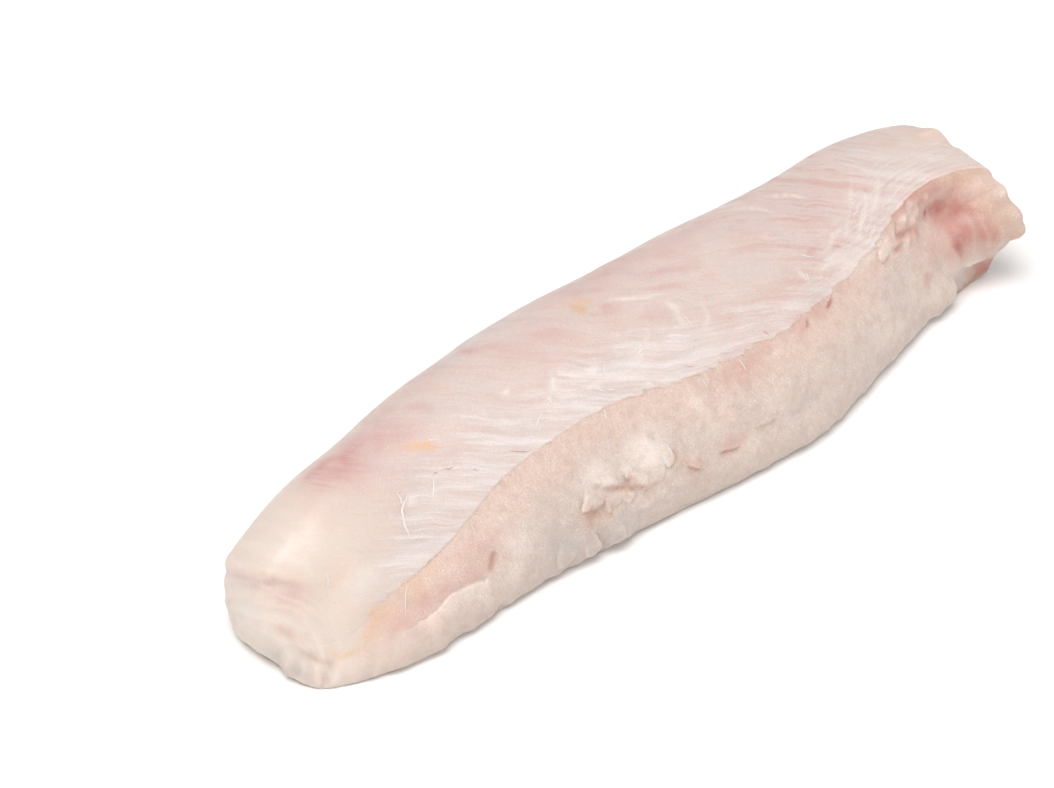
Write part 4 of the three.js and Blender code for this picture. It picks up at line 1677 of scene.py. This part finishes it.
@dataclass(frozen=True)
class Noises:
    """Noises that break up the colours, in space or along the fibres and the sheath's edge."""

    cloud: Noise = Noise(75.0, 3.0)
    mottle: Noise = Noise(360.0, 3.0, 0.6)
    salt: Noise = Noise(3600.0, 1.0)
    grain: Noise = Noise(1500.0, 2.0, 0.6)
    wet: Noise = Noise(260.0, 3.0)
    fibre: Noise = Noise(1.3, 4.0, 0.65)
    stroke: Noise = Noise(2.3, 3.0, 0.65)
    wisp: Noise = Noise(0.4, 3.0, 0.55)
    streak: Noise = Noise(1.1, 3.0, 0.6)
    strokes_drawn: Point = (3.5, 1.0, 1.0)
    streaks_drawn: float = 0.09


@dataclass(frozen=True)
class Places:
    """Stretches of the loin that are finished in their own way."""

    far: Rise = Rise(26.0, 58.0)
    blunt: Rise = Rise(-72.0, -100.0)
    # height up from the foot over which painted glints come in
    glint_height: Rise = Rise(3.0, 12.0)


@dataclass(frozen=True)
class WallLook:
    """How the colours of the cut wall lie, and how strong they are."""

    cloud_stray: float = 10.0
    mottle_stray: float = 6.0
    clouds: Rise = Rise(0.45, 0.7, 0.8)
    top: Rise = Rise(-15.0, -4.0)
    foot: Rise = Rise(14.5, 1.5)
    blunt_foot: float = 0.4
    mottles: Rise = Rise(0.52, 0.32, 0.35)
    corner: Rise = Rise(-84.0, -106.0, 0.3)
    blunt_strokes: float = 0.15
    dark_strokes: Rise = Rise(0.48, 0.3, 0.35)
    pale_strokes: Rise = Rise(0.54, 0.7, 0.5)
    # painted glints on the fibre strokes
    painted_glints: Rise = Rise(0.6, 0.72, 0.9)
    painted_glint_patches: Rise = Rise(0.44, 0.6)


@dataclass(frozen=True)
class SheathLook:
    """How the colours of the sheath lie, and how strong they are."""

    back_calm: Rise = Rise(36.0, 46.0, 0.25, 1.0)
    end_calm: Rise = Rise(90.0, 110.0, 0.25, 1.0)
    near_lines: float = 0.42
    blunt_lines: float = 0.27
    hem_streaks: Rise = Rise(17.0, 7.0)
    cloud_stray: float = 12.0
    mottle_stray: float = 9.0
    thread_stray: float = 9.0
    wisp_stray: float = 14.0
    cool_clouds: Rise = Rise(0.5, 0.65, 0.6)
    rosy_clouds: Rise = Rise(0.5, 0.3, 0.36)
    rosy_wisps: Rise = Rise(0.5, 0.32)
    near_wisps: float = 0.26
    far_wisps: float = 0.7
    corner: float = 0.9
    rosy_threads: Rise = Rise(0.5, 0.3)
    rosy_patches: Rise = Rise(0.36, 0.56)
    pearl_threads: Rise = Rise(0.52, 0.7)
    band: Rise = Rise(-3.0, 6.0)
    band_turned: Rise = Rise(-84.0, -106.0, 0.15, 1.0)
    band_pearl: float = 0.45
    white_threads: Rise = Rise(0.46, 0.66, 0.4)
    white_wisps: Rise = Rise(0.46, 0.66, 0.55)
    far_film: float = 0.58
    band_threads: Rise = Rise(0.46, 0.3, 0.36)
    band_patches: Rise = Rise(0.4, 0.6)


@dataclass(frozen=True)
class StainLook:
    """How the stains, the painted shade in recesses, the fine salt-like grain and its painted glints break
    up, and how strong they are.
    """

    patches: Rise = Rise(0.35, 0.6, 1.0, 0.35)
    veins: Rise = Rise(0.3, 0.55, 1.0, 0.45)
    soft_patch: float = 0.5
    faint_patch: float = 0.6
    far_cover: float = 0.85
    # strength of the painted shade in recesses
    crevice: float = 0.9
    blunt_salt: float = 0.55
    sheath_salt: float = 0.65
    # share of painted glints kept on the pink stains
    glints_on_salmon: float = 0.25
    dark_salt: Rise = Rise(0.5, 0.34, 0.33)
    # painted glints in the fine grain
    salt_glints: Rise = Rise(0.52, 0.66, 0.5)
    glint_patches: Rise = Rise(0.45, 0.62, 1.0, 0.35)


@dataclass(frozen=True)
class FleshFinish:
    """Colour and gloss of raw hake, with the pearly sheath on top."""

    colours: Palette = Palette()
    noises: Noises = Noises()
    places: Places = Places()
    wall_look: WallLook = WallLook()
    sheath_look: SheathLook = SheathLook()
    stain_look: StainLook = StainLook()
    gloss: Rise = Rise(0.42, 0.68, 0.32, 0.52)
    sheath_grain: float = 0.3
    fibre_height: float = 0.4
    bump: float = 0.5
    bump_height: float = 0.25 * MM
    subsurface: float = 0.7
    subsurface_radius: Point = (1.0, 0.55, 0.35)
    subsurface_scale: float = 3.5 * MM
    ior: float = 1.42

    def wall(self, bench: MaterialBench, cloud: Tone, mottle: Tone, stroke: Tone) -> Tone:
        """Colour of the cut wall: rosy below the sheath, beige, then greyish at the foot, with painted glints
        on its fibre strokes.

        Args:
            bench: Bench to build on.
            cloud: Slow noise.
            mottle: Quicker noise.
            stroke: Fine noise drawn out along the fibres.

        Returns:
            The colour.
        """
        c, look = self.colours, self.wall_look
        along, across, up = (bench.mark(mark) for mark in (Mark.ALONG, Mark.ACROSS, Mark.UP))
        stray = cloud.swing(look.cloud_stray) + mottle.swing(look.mottle_stray)
        blunt = along.rise(self.places.blunt)
        drawn = blunt.between(1.0, look.blunt_strokes)
        # painted glints: white specks on the fibre strokes, none near the foot
        glint_spots = stroke.rise(look.painted_glints) * mottle.rise(look.painted_glint_patches) * up.rise(self.places.glint_height)
        return bench.layered(
            c.wall,
            (c.wall_pale, cloud.rise(look.clouds)),
            (c.wall_top, (across + stray).rise(look.top)),
            (c.wall_foot, (up + stray).rise(look.foot) * blunt.between(1.0, look.blunt_foot)),
            (c.wall_deep, mottle.rise(look.mottles)),
            (c.corner, along.rise(look.corner)),
            (c.wall_deep, stroke.rise(look.dark_strokes) * drawn),
            (c.wall_pale, stroke.rise(look.pale_strokes) * drawn),
            # painted glints
            (c.chalk, glint_spots * drawn),
        )

    def sheath(self, bench: MaterialBench, cloud: Tone, mottle: Tone, fibre: Tone) -> Tone:
        """Colour of the sheath: pearly with fine fibres, whitest at its torn edge, creamy at the blunt end.

        Args:
            bench: Bench to build on.
            cloud: Slow noise.
            mottle: Quicker noise.
            fibre: Fine noise drawn out along the fibres.

        Returns:
            The colour.
        """
        c, look = self.colours, self.sheath_look
        along, across, edge = (bench.mark(mark) for mark in (Mark.ALONG, Mark.ACROSS, Mark.MEMBRANE))
        far, blunt = along.rise(self.places.far), along.rise(self.places.blunt)
        calm = across.rise(look.back_calm) * along.rise(look.end_calm)
        lined = (far.between(look.near_lines) - blunt * look.blunt_lines) * calm
        edgewise = bench.add("ShaderNodeCombineXYZ", {}, {0: along * self.noises.streaks_drawn, 1: across})
        streak = bench.noise(edgewise, self.noises.streak)
        thread = fibre + (streak - fibre) * far * across.rise(look.hem_streaks)
        wisp = bench.noise(bench.mark(Mark.FIBRE, "Vector"), self.noises.wisp)
        wisps = blunt.between(1.0, 0.0) * far.between(look.near_wisps, look.far_wisps) * calm
        stray = cloud.swing(look.cloud_stray) + mottle.swing(look.mottle_stray)
        stray = stray + thread.swing(look.thread_stray) + wisp.swing(look.wisp_stray)
        band = (edge + stray).rise(look.band) * along.rise(look.band_turned)
        white = thread.rise(look.white_threads) + wisp.rise(look.white_wisps)
        return bench.layered(
            c.sheath,
            (c.sheath_cool, cloud.rise(look.cool_clouds)),
            (c.rosy, cloud.rise(look.rosy_clouds)),
            (c.rosy, wisp.rise(look.rosy_wisps) * wisps),
            (c.corner, blunt * look.corner),
            (c.rosy, thread.rise(look.rosy_threads) * mottle.rise(look.rosy_patches) * lined),
            (c.pearl, thread.rise(look.pearl_threads) * lined),
            (c.pearl, band * look.band_pearl),
            (c.film, band * white * far.between(1.0, look.far_film)),
            (c.rosy, band * thread.rise(look.band_threads) * mottle.rise(look.band_patches)),
        )

    def colour(self, bench: MaterialBench, fibre: Tone) -> Tone:
        """Builds the colour over the whole surface.

        Args:
            bench: Bench to build on.
            fibre: Fine noise drawn out along the fibres.

        Returns:
            The colour.
        """
        c, look, noises = self.colours, self.stain_look, self.noises
        place = bench.place()
        cloud, mottle, salt = (bench.noise(place, n) for n in (noises.cloud, noises.mottle, noises.salt))
        strokes = bench.scaled(bench.mark(Mark.FIBRE, "Vector"), noises.strokes_drawn)
        stroke = bench.noise(strokes, noises.stroke)
        along, up, sheathed = (bench.mark(mark) for mark in (Mark.ALONG, Mark.UP, Mark.SHEATHED))
        stain = {tint: bench.mark(tint) for tint in Tint}
        patchy = mottle.rise(look.patches)
        soft, faint = patchy.between(look.soft_patch), patchy.between(look.faint_patch)
        bare = 1.0 - look.far_cover * sheathed * along.rise(self.places.far)
        blunt = along.rise(self.places.blunt)
        rough = blunt.between(1.0, look.blunt_salt) * sheathed.between(1.0, look.sheath_salt)
        # painted glints: fine white specks in patches, fewer near the foot and on the pink stains
        glint = salt.rise(look.salt_glints) * rough * mottle.rise(look.glint_patches)
        lit = up.rise(self.places.glint_height) * stain[Tint.SALMON].between(1.0, look.glints_on_salmon)
        return bench.layered(
            self.wall(bench, cloud, mottle, stroke),
            (self.sheath(bench, cloud, mottle, fibre), sheathed),
            # grey translucent flesh, and painted shade beside the clump
            (c.glassy, stain[Tint.GLASSY] * faint),
            # bruise pink, and painted pink shade in the fold under the blunt end's lip
            (c.blush, stain[Tint.BLUSH] * fibre.rise(look.veins)),
            # warm pink of the flesh, and painted shadow under the overhanging sheath edge over the hollow
            (c.salmon, stain[Tint.SALMON] * bare * soft),
            (c.amber, stain[Tint.AMBER] * soft),
            # white tissue and painted highlight
            (c.chalk, stain[Tint.CHALK] * soft),
            # painted shade in recesses
            (c.crevice, stain[Tint.CREVICE] * bare * look.crevice),
            (c.blood, stain[Tint.BLOOD] * bare * faint),
            (c.wall_deep, salt.rise(look.dark_salt) * rough),
            # painted glints
            (c.chalk, glint * lit),
        )

    def material(self) -> bpy.types.Material:
        """Builds the material.

        Returns:
            The finished material.
        """
        bench = MaterialBench("raw_hake")
        place = bench.place()
        grain, wet = (bench.noise(place, n) for n in (self.noises.grain, self.noises.wet))
        fibre = bench.noise(bench.mark(Mark.FIBRE, "Vector"), self.noises.fibre)
        sheathed = bench.mark(Mark.SHEATHED)
        height = grain * sheathed.between(1.0, self.sheath_grain) + fibre * sheathed * self.fibre_height
        relief = {"Strength": self.bump, "Distance": self.bump_height, "Height": height}
        surface = bench.add(
            "ShaderNodeBsdfPrincipled",
            {"subsurface_method": "RANDOM_WALK"},
            {
                "Base Color": self.colour(bench, fibre),
                "Roughness": wet.rise(self.gloss),
                "IOR": self.ior,
                "Subsurface Weight": self.subsurface,
                "Subsurface Radius": self.subsurface_radius,
                "Subsurface Scale": self.subsurface_scale,
                "Normal": bench.add("ShaderNodeBump", {}, relief, "Normal"),
            },
            "BSDF",
        )
        return bench.finish(surface)


@dataclass(frozen=True)
class PlainFinish:
    """One colour and one roughness all over: white skin tissue unless told otherwise."""

    name: str = "white_tissue"
    colour: Colour = linear("#E6DAD3")
    roughness: float = 0.55

    def material(self) -> bpy.types.Material:
        """Builds the material.

        Returns:
            The finished material.
        """
        bench = MaterialBench(self.name)
        inputs = {"Base Color": self.colour, "Roughness": self.roughness}
        return bench.finish(bench.add("ShaderNodeBsdfPrincipled", {}, inputs, "BSDF"))


def placed(name: str, data: Any) -> bpy.types.Object:
    """Puts data into the scene as an object at the origin.

    Args:
        name: Name of the object.
        data: Its mesh, lamp or camera.

    Returns:
        The object.
    """
    thing = bpy.data.objects.new(name, data)
    bpy.context.scene.collection.objects.link(thing)
    return thing


def keep(mesh: bpy.types.Mesh, name: str, values: np.ndarray) -> None:
    """Keeps values as an attribute of a mesh's points.

    Args:
        mesh: Mesh to mark.
        name: Name of the attribute.
        values: One value or vector for each point.
    """
    vector = values.ndim == 2
    attribute = mesh.attributes.new(name, "FLOAT_VECTOR" if vector else "FLOAT", "POINT")
    attribute.data.foreach_set("vector" if vector else "value", values.astype(np.float32).ravel())


class Loin:
    """The loin itself: its form, its relief, its stains with painted shade and highlight, and its finish."""

    NAME = "hake_loin"
    SOFTNESS = 1.6
    TAPER = 0.35
    LEAST = 0.15
    STRAY = 2.5
    BROKEN = 0.35
    BROKEN_WIDTH = 3.0

    def __init__(self, form: LoinForm, relief: LoinRelief, finish: FleshFinish) -> None:
        """Shapes the surface.

        Args:
            form: The plain form.
            relief: What stands out of it.
            finish: Its finish.
        """
        self.form = form
        self.plain = form.surface()
        self.relief = relief.raised(self.plain, form.hem)
        self.fibre = relief.fibres(self.plain.points, self.plain.across < 0.0)
        flat = self.plain.points.reshape(-1, 3)
        self.stray = relief.warped(flat) - flat
        self.whole = 1.0 + self.BROKEN * relief.unevenness.at(flat, self.BROKEN_WIDTH, Part.BROKEN)
        self.finish = finish

    def stained(self, tint: Tint) -> np.ndarray:
        """Share of one tint over the surface.

        Args:
            tint: Tint to lay.

        Returns:
            Shares from 0 to 1.
        """
        points = self.plain.points.reshape(-1, 3)
        outward = self.plain.outward.reshape(-1, 3)
        whole = np.zeros(len(points))
        for stain in STAINS.get(tint, ()):
            near = close_to(points, (stain.at,), STAIN_FADED * max(stain.reach))
            away = away_from_point(points[near] + self.STRAY * self.stray[near], stain.at, stain.reach)
            whole[near] = np.maximum(whole[near], stain.strength * np.exp(-self.SOFTNESS * away**2))
        for streak in STREAKS.get(tint, ()):
            near = close_to(points, streak.line, FADED * streak.width)
            strayed = points[near] + min(streak.width, self.STRAY) * self.stray[near]
            away, share, _ = against_line(strayed, outward[near], settled(points, streak.line))
            ends = ease(0.0, self.TAPER, share) * ease(1.0, 1.0 - self.TAPER, share)
            strength = streak.strength * (self.LEAST + (1.0 - self.LEAST) * ends)
            whole[near] = np.maximum(whole[near], strength * np.exp(-((away / streak.width) ** 2)))
        return np.clip(whole * self.whole, 0.0, 1.0).reshape(self.plain.up.shape)

    @staticmethod
    def with_poles(values: np.ndarray) -> np.ndarray:
        """Values of the grid as rows, then those of the two poles, each the mean of its ring."""
        return np.concatenate([values.reshape(-1, *values.shape[2:]), values[[0, -1]].mean(axis=1)])

    def closed_mesh(self) -> bpy.types.Mesh:
        """Makes the closed mesh over the rings, each end drawn together in one point.

        Returns:
            The mesh, in metres.
        """
        points = self.relief.points
        rings, around = points.shape[:2]
        index = np.arange(rings * around).reshape(rings, around)
        beside = np.roll(index, -1, axis=1)
        quads = np.stack([index[:-1], index[1:], beside[1:], beside[:-1]], -1).reshape(-1, 4)
        near, far = rings * around, rings * around + 1
        caps = [(near, int(a), int(b)) for a, b in zip(index[0], beside[0])]
        caps += [(far, int(b), int(a)) for a, b in zip(index[-1], beside[-1])]
        mesh = bpy.data.meshes.new(self.NAME)
        mesh.from_pydata((self.with_poles(points) * MM).tolist(), [], quads.tolist() + caps)
        mesh.shade_smooth()
        return mesh

    def build(self) -> bpy.types.Object:
        """Builds and dresses the loin.

        Returns:
            The finished object.
        """
        mesh = self.closed_mesh()
        tints = {tint: self.stained(tint) for tint in Tint}
        # painted highlight from the relief joins the white tint
        tints[Tint.CHALK] = np.maximum(tints[Tint.CHALK], self.relief.pale_and_highlight)
        # painted shade from the relief joins the painted shade patches
        tints[Tint.CREVICE] = np.maximum(tints[Tint.CREVICE], self.relief.crevice)
        x = self.plain.points[..., 0]
        width_x, width = np.array(self.form.hem.membrane, float).T
        marks = {
            Mark.ACROSS: self.plain.across,
            Mark.UP: self.plain.up,
            Mark.ALONG: x,
            Mark.MEMBRANE: np.interp(x, width_x, width) - self.plain.across,
            Mark.SHEATHED: self.form.sheathed(self.plain),
            Mark.FIBRE: self.fibre,
        }
        for mark, values in {**tints, **marks}.items():
            keep(mesh, mark.value, self.with_poles(values))
        mesh.materials.append(self.finish.material())
        return placed(self.NAME, mesh)


@dataclass(frozen=True)
class ThreadSizes:
    """How the threads are drawn over the surface."""

    stride: float = 0.35
    lift: float = -0.55
    tip: float = 0.4
    least: float = 0.15
    fewest: int = 4
    smoothing: int = 6
    follow: float = 0.5
    sides: int = 6


@dataclass(frozen=True)
class SurfaceThreads:
    """Fine lines that lie over the sheath and the wall of a loin."""

    name: str
    lines: tuple[Thread, ...]
    sizes: ThreadSizes
    loin: Loin
    finish: PlainFinish

    def laid(self, thread: Thread) -> np.ndarray:
        """Lays a thread on the surface.

        Args:
            thread: Thread to lay.

        Returns:
            Points along it with the radius last, in millimetres.
        """
        s = self.sizes
        knots = np.array(thread.line, float)
        run = np.concatenate([[0.0], np.cumsum(np.linalg.norm(np.diff(knots, axis=0), axis=1))])
        goal = np.linspace(0.0, run[-1], max(s.fewest, int(run[-1] / s.stride)))
        drawn = np.stack([np.interp(goal, run, knots[:, k]) for k in range(3)], -1)
        for _ in range(s.smoothing):
            drawn[1:-1] = (drawn[:-2] + 2.0 * drawn[1:-1] + drawn[2:]) / 4.0
        plain = self.loin.plain.points.reshape(-1, 3)
        nearest = [int(((plain - p) ** 2).sum(1).argmin()) for p in drawn]
        ground = self.loin.relief.points.reshape(-1, 3)[nearest] + (drawn - plain[nearest]) * s.follow
        outward = self.loin.plain.outward.reshape(-1, 3)[nearest]
        share = goal / run[-1]
        taper = np.minimum(ease(0.0, s.tip, share), ease(1.0, 1.0 - s.tip, share))
        radius = thread.radius * (s.least + (1.0 - s.least) * taper)
        return np.column_stack([ground + outward * (s.lift * radius)[:, None], radius])

    def build(self) -> bpy.types.Object:
        """Draws the threads and grows them into tubes.

        Returns:
            The finished object.
        """
        laid = [self.laid(thread) for thread in self.lines]
        points = np.concatenate(laid) * MM
        starts = np.cumsum([0] + [len(line) for line in laid])
        edges = [(i, i + 1) for a, b in zip(starts[:-1], starts[1:]) for i in range(int(a), int(b) - 1)]
        seed = bpy.data.meshes.new(self.name + "_lines")
        seed.from_pydata(points[:, :3].tolist(), edges, [])
        keep(seed, "thread_radius", points[:, 3])
        bench = GeometryBench(
            self.name,
            {
                "Sides": ("NodeSocketInt", self.sizes.sides),
                "Finish": ("NodeSocketMaterial", self.finish.material()),
            },
        )
        curve = bench.add("GeometryNodeMeshToCurve", {}, {"Mesh": bench.given("Geometry")})
        width = bench.named("thread_radius", "FLOAT")
        circle = {"Resolution": bench.given("Sides"), "Radius": 1.0}
        profile = bench.add("GeometryNodeCurvePrimitiveCircle", {}, circle)
        inputs = {"Curve": curve, "Profile Curve": profile, "Scale": width, "Fill Caps": True}
        tubes = bench.add("GeometryNodeCurveToMesh", {}, inputs)
        return bench.grow(tubes, placed(self.name, seed))


@dataclass(frozen=True)
class FringeSizes:
    """How the frayed fibres stand along the torn edge of the sheath."""

    near_x: float = -90.0
    far_x: float = 84.0
    gap: float = 2.4
    length: float = 1.6
    radius: float = 0.09
    tip: float = 0.2
    shortest: float = 0.4
    swing: float = 0.5
    cross_swing: float = 0.5
    sides: int = 5
    spans: int = 3
    seed: int = 11


@dataclass(frozen=True)
class HemFringe:
    """Frayed ends of fibres along the torn edge of a loin's sheath."""

    NAME = "hem_fringe"

    sizes: FringeSizes
    loin: Loin
    finish: PlainFinish

    def roots(self) -> tuple[np.ndarray, np.ndarray]:
        """Finds where fibres end along the edge.

        Returns:
            Places of the fibre ends, and the direction of each fibre.
        """
        s = self.sizes
        hem = self.loin.form.fine.wall
        edge = self.loin.relief.points[:, hem]
        outward = self.loin.plain.outward[:, hem]
        even = np.arange(s.near_x, s.far_x, s.gap)
        goal = even + np.random.default_rng(s.seed).uniform(-s.gap, s.gap, len(even))
        picked = np.unique([int(np.abs(edge[:, 0] - x).argmin()) for x in goal])
        along = np.array(FIBRE_ALONG) - outward[picked] * (outward[picked] @ np.array(FIBRE_ALONG))[:, None]
        return edge[picked], along / np.linalg.norm(along, axis=1, keepdims=True)

    def build(self) -> bpy.types.Object:
        """Sets a short fibre on each place.

        Returns:
            The finished object.
        """
        s = self.sizes
        places, along = self.roots()
        seed = bpy.data.meshes.new(self.NAME + "_roots")
        seed.from_pydata((places * MM).tolist(), [], [])
        keep(seed, "heading", along)
        bench = GeometryBench(
            self.NAME,
            {
                "Length": ("NodeSocketFloat", s.length * MM),
                "Radius": ("NodeSocketFloat", s.radius * MM),
                "Shortest": ("NodeSocketFloat", s.shortest),
                "Swing": ("NodeSocketFloat", s.swing),
                "Seed": ("NodeSocketInt", s.seed),
                "Finish": ("NodeSocketMaterial", self.finish.material()),
            },
        )
        root, length = bench.given("Radius"), bench.given("Length")
        inputs = {"Vertices": s.sides, "Side Segments": s.spans, "Depth": length}
        inputs |= {"Radius Top": root * s.tip, "Radius Bottom": root}
        cone = bench.add("GeometryNodeMeshCone", {"fill_type": "NGON"}, inputs, "Mesh")
        points = bench.add("GeometryNodeMeshToPoints", {}, {"Mesh": bench.given("Geometry")})
        heading = bench.named("heading", "FLOAT_VECTOR")
        aimed = bench.add("FunctionNodeAlignRotationToVector", {"axis": "Z"}, {"Vector": heading})
        swing = bench.given("Swing")
        spin = bench.chance(-1.0 * swing, swing)
        turn = bench.add("ShaderNodeCombineXYZ", {}, {0: spin, 1: spin * s.cross_swing})
        turn = bench.add("FunctionNodeEulerToRotation", {}, {0: turn})
        inputs = {"Rotation": aimed, "Rotate By": turn}
        turned = bench.add("FunctionNodeRotateRotation", {"rotation_space": "LOCAL"}, inputs)
        size = bench.chance(bench.given("Shortest"), 1.0)
        inputs = {"Points": points, "Instance": cone, "Rotation": turned, "Scale": size}
        return bench.grow(bench.add("GeometryNodeInstanceOnPoints", {}, inputs), placed(self.NAME, seed))


@dataclass(frozen=True)
class Lamp:
    """A square soft lamp: where it hangs and its width, in metres, and its power in watts."""

    name: str
    place: Point
    size: float
    watts: float


@dataclass(frozen=True)
class Studio:
    """White floor, soft light and the camera."""

    image_width: int = 1054
    focal_px: float = 3320.0
    sensor: float = 36.0
    azimuth: float = -44.0
    elevation: float = 39.0
    distance: float = 800.0
    target: Point = (-18.5, 19.5, 15.0)
    floor_half: float = 4.0
    floor_colour: Colour = linear("#F8F7F6")
    floor_roughness: float = 0.8
    sky: float = 0.5
    lamps: tuple[Lamp, ...] = (
        Lamp("key_softbox", (-0.7, -0.3, 2.1), 1.3, 40.0),
        Lamp("fill_softbox", (0.6, -2.0, 1.2), 1.6, 9.0),
    )

    def floor(self) -> bpy.types.Object:
        """Lays the floor.

        Returns:
            The floor.
        """
        half = self.floor_half
        mesh = bpy.data.meshes.new("studio_floor")
        corners = [(-half, -half, 0), (half, -half, 0), (half, half, 0), (-half, half, 0)]
        mesh.from_pydata(corners, [], [(0, 1, 2, 3)])
        card = PlainFinish("white_card", self.floor_colour, self.floor_roughness)
        mesh.materials.append(card.material())
        return placed("studio_floor", mesh)

    def light(self) -> None:
        """Lights the set softly from all round, with more from above the near end."""
        world = bpy.data.worlds.new("white_tent")
        world.use_nodes = True
        tent = world.node_tree.nodes["Background"].inputs
        tent["Color"].default_value = (1.0, 1.0, 1.0, 1.0)
        tent["Strength"].default_value = self.sky
        bpy.context.scene.world = world
        for lamp in self.lamps:
            data = bpy.data.lights.new(lamp.name, "AREA")
            data.size = lamp.size
            data.energy = lamp.watts
            holder = placed(lamp.name, data)
            holder.location = lamp.place
            holder.rotation_euler = (-Vector(lamp.place)).to_track_quat("-Z", "Y").to_euler()

    def camera(self) -> None:
        """Sets up the camera."""
        a, e = math.radians(self.azimuth), math.radians(self.elevation)
        back = Vector((math.sin(a) * math.cos(e), -math.cos(a) * math.cos(e), math.sin(e)))
        data = bpy.data.cameras.new("camera")
        data.sensor_width = self.sensor
        data.lens = self.focal_px * self.sensor / self.image_width
        camera = placed("camera", data)
        camera.location = (Vector(self.target) + back * self.distance) * MM
        camera.rotation_euler = back.to_track_quat("Z", "Y").to_euler()
        bpy.context.scene.camera = camera

    def develop(self) -> None:
        """Shows light plainly, as a print on white paper does."""
        bpy.context.scene.view_settings.view_transform = "Standard"


def main() -> None:
    """Builds the loin and its studio."""
    logging.basicConfig(level=logging.INFO, format="%(name)s: %(message)s")
    unevenness = Unevenness(seed=7)
    form = LoinForm(SectionShape(), EndShape(), HemShape(), Fineness(), unevenness)
    loin = Loin(form, LoinRelief(ReliefSizes(), FibreRun(), unevenness), FleshFinish())
    tissue = PlainFinish()
    raw = PlainFinish("red_nick", linear("#C79A8F"))
    parts = (
        loin,
        SurfaceThreads("tissue_threads", THREADS, ThreadSizes(), loin, tissue),
        SurfaceThreads("sheath_nicks", NICKS, ThreadSizes(lift=NICK_LIFT), loin, raw),
        HemFringe(FringeSizes(), loin, tissue),
    )
    for part in parts:
        piece = part.build()
        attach(piece, BODY)
        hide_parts(NODE)
        log.info("%s: %d faces", piece.name, len(piece.data.polygons))
    studio = Studio()
    studio.floor()
    studio.light()
    studio.camera()
    studio.develop()


if __name__ == "__main__":
    main()
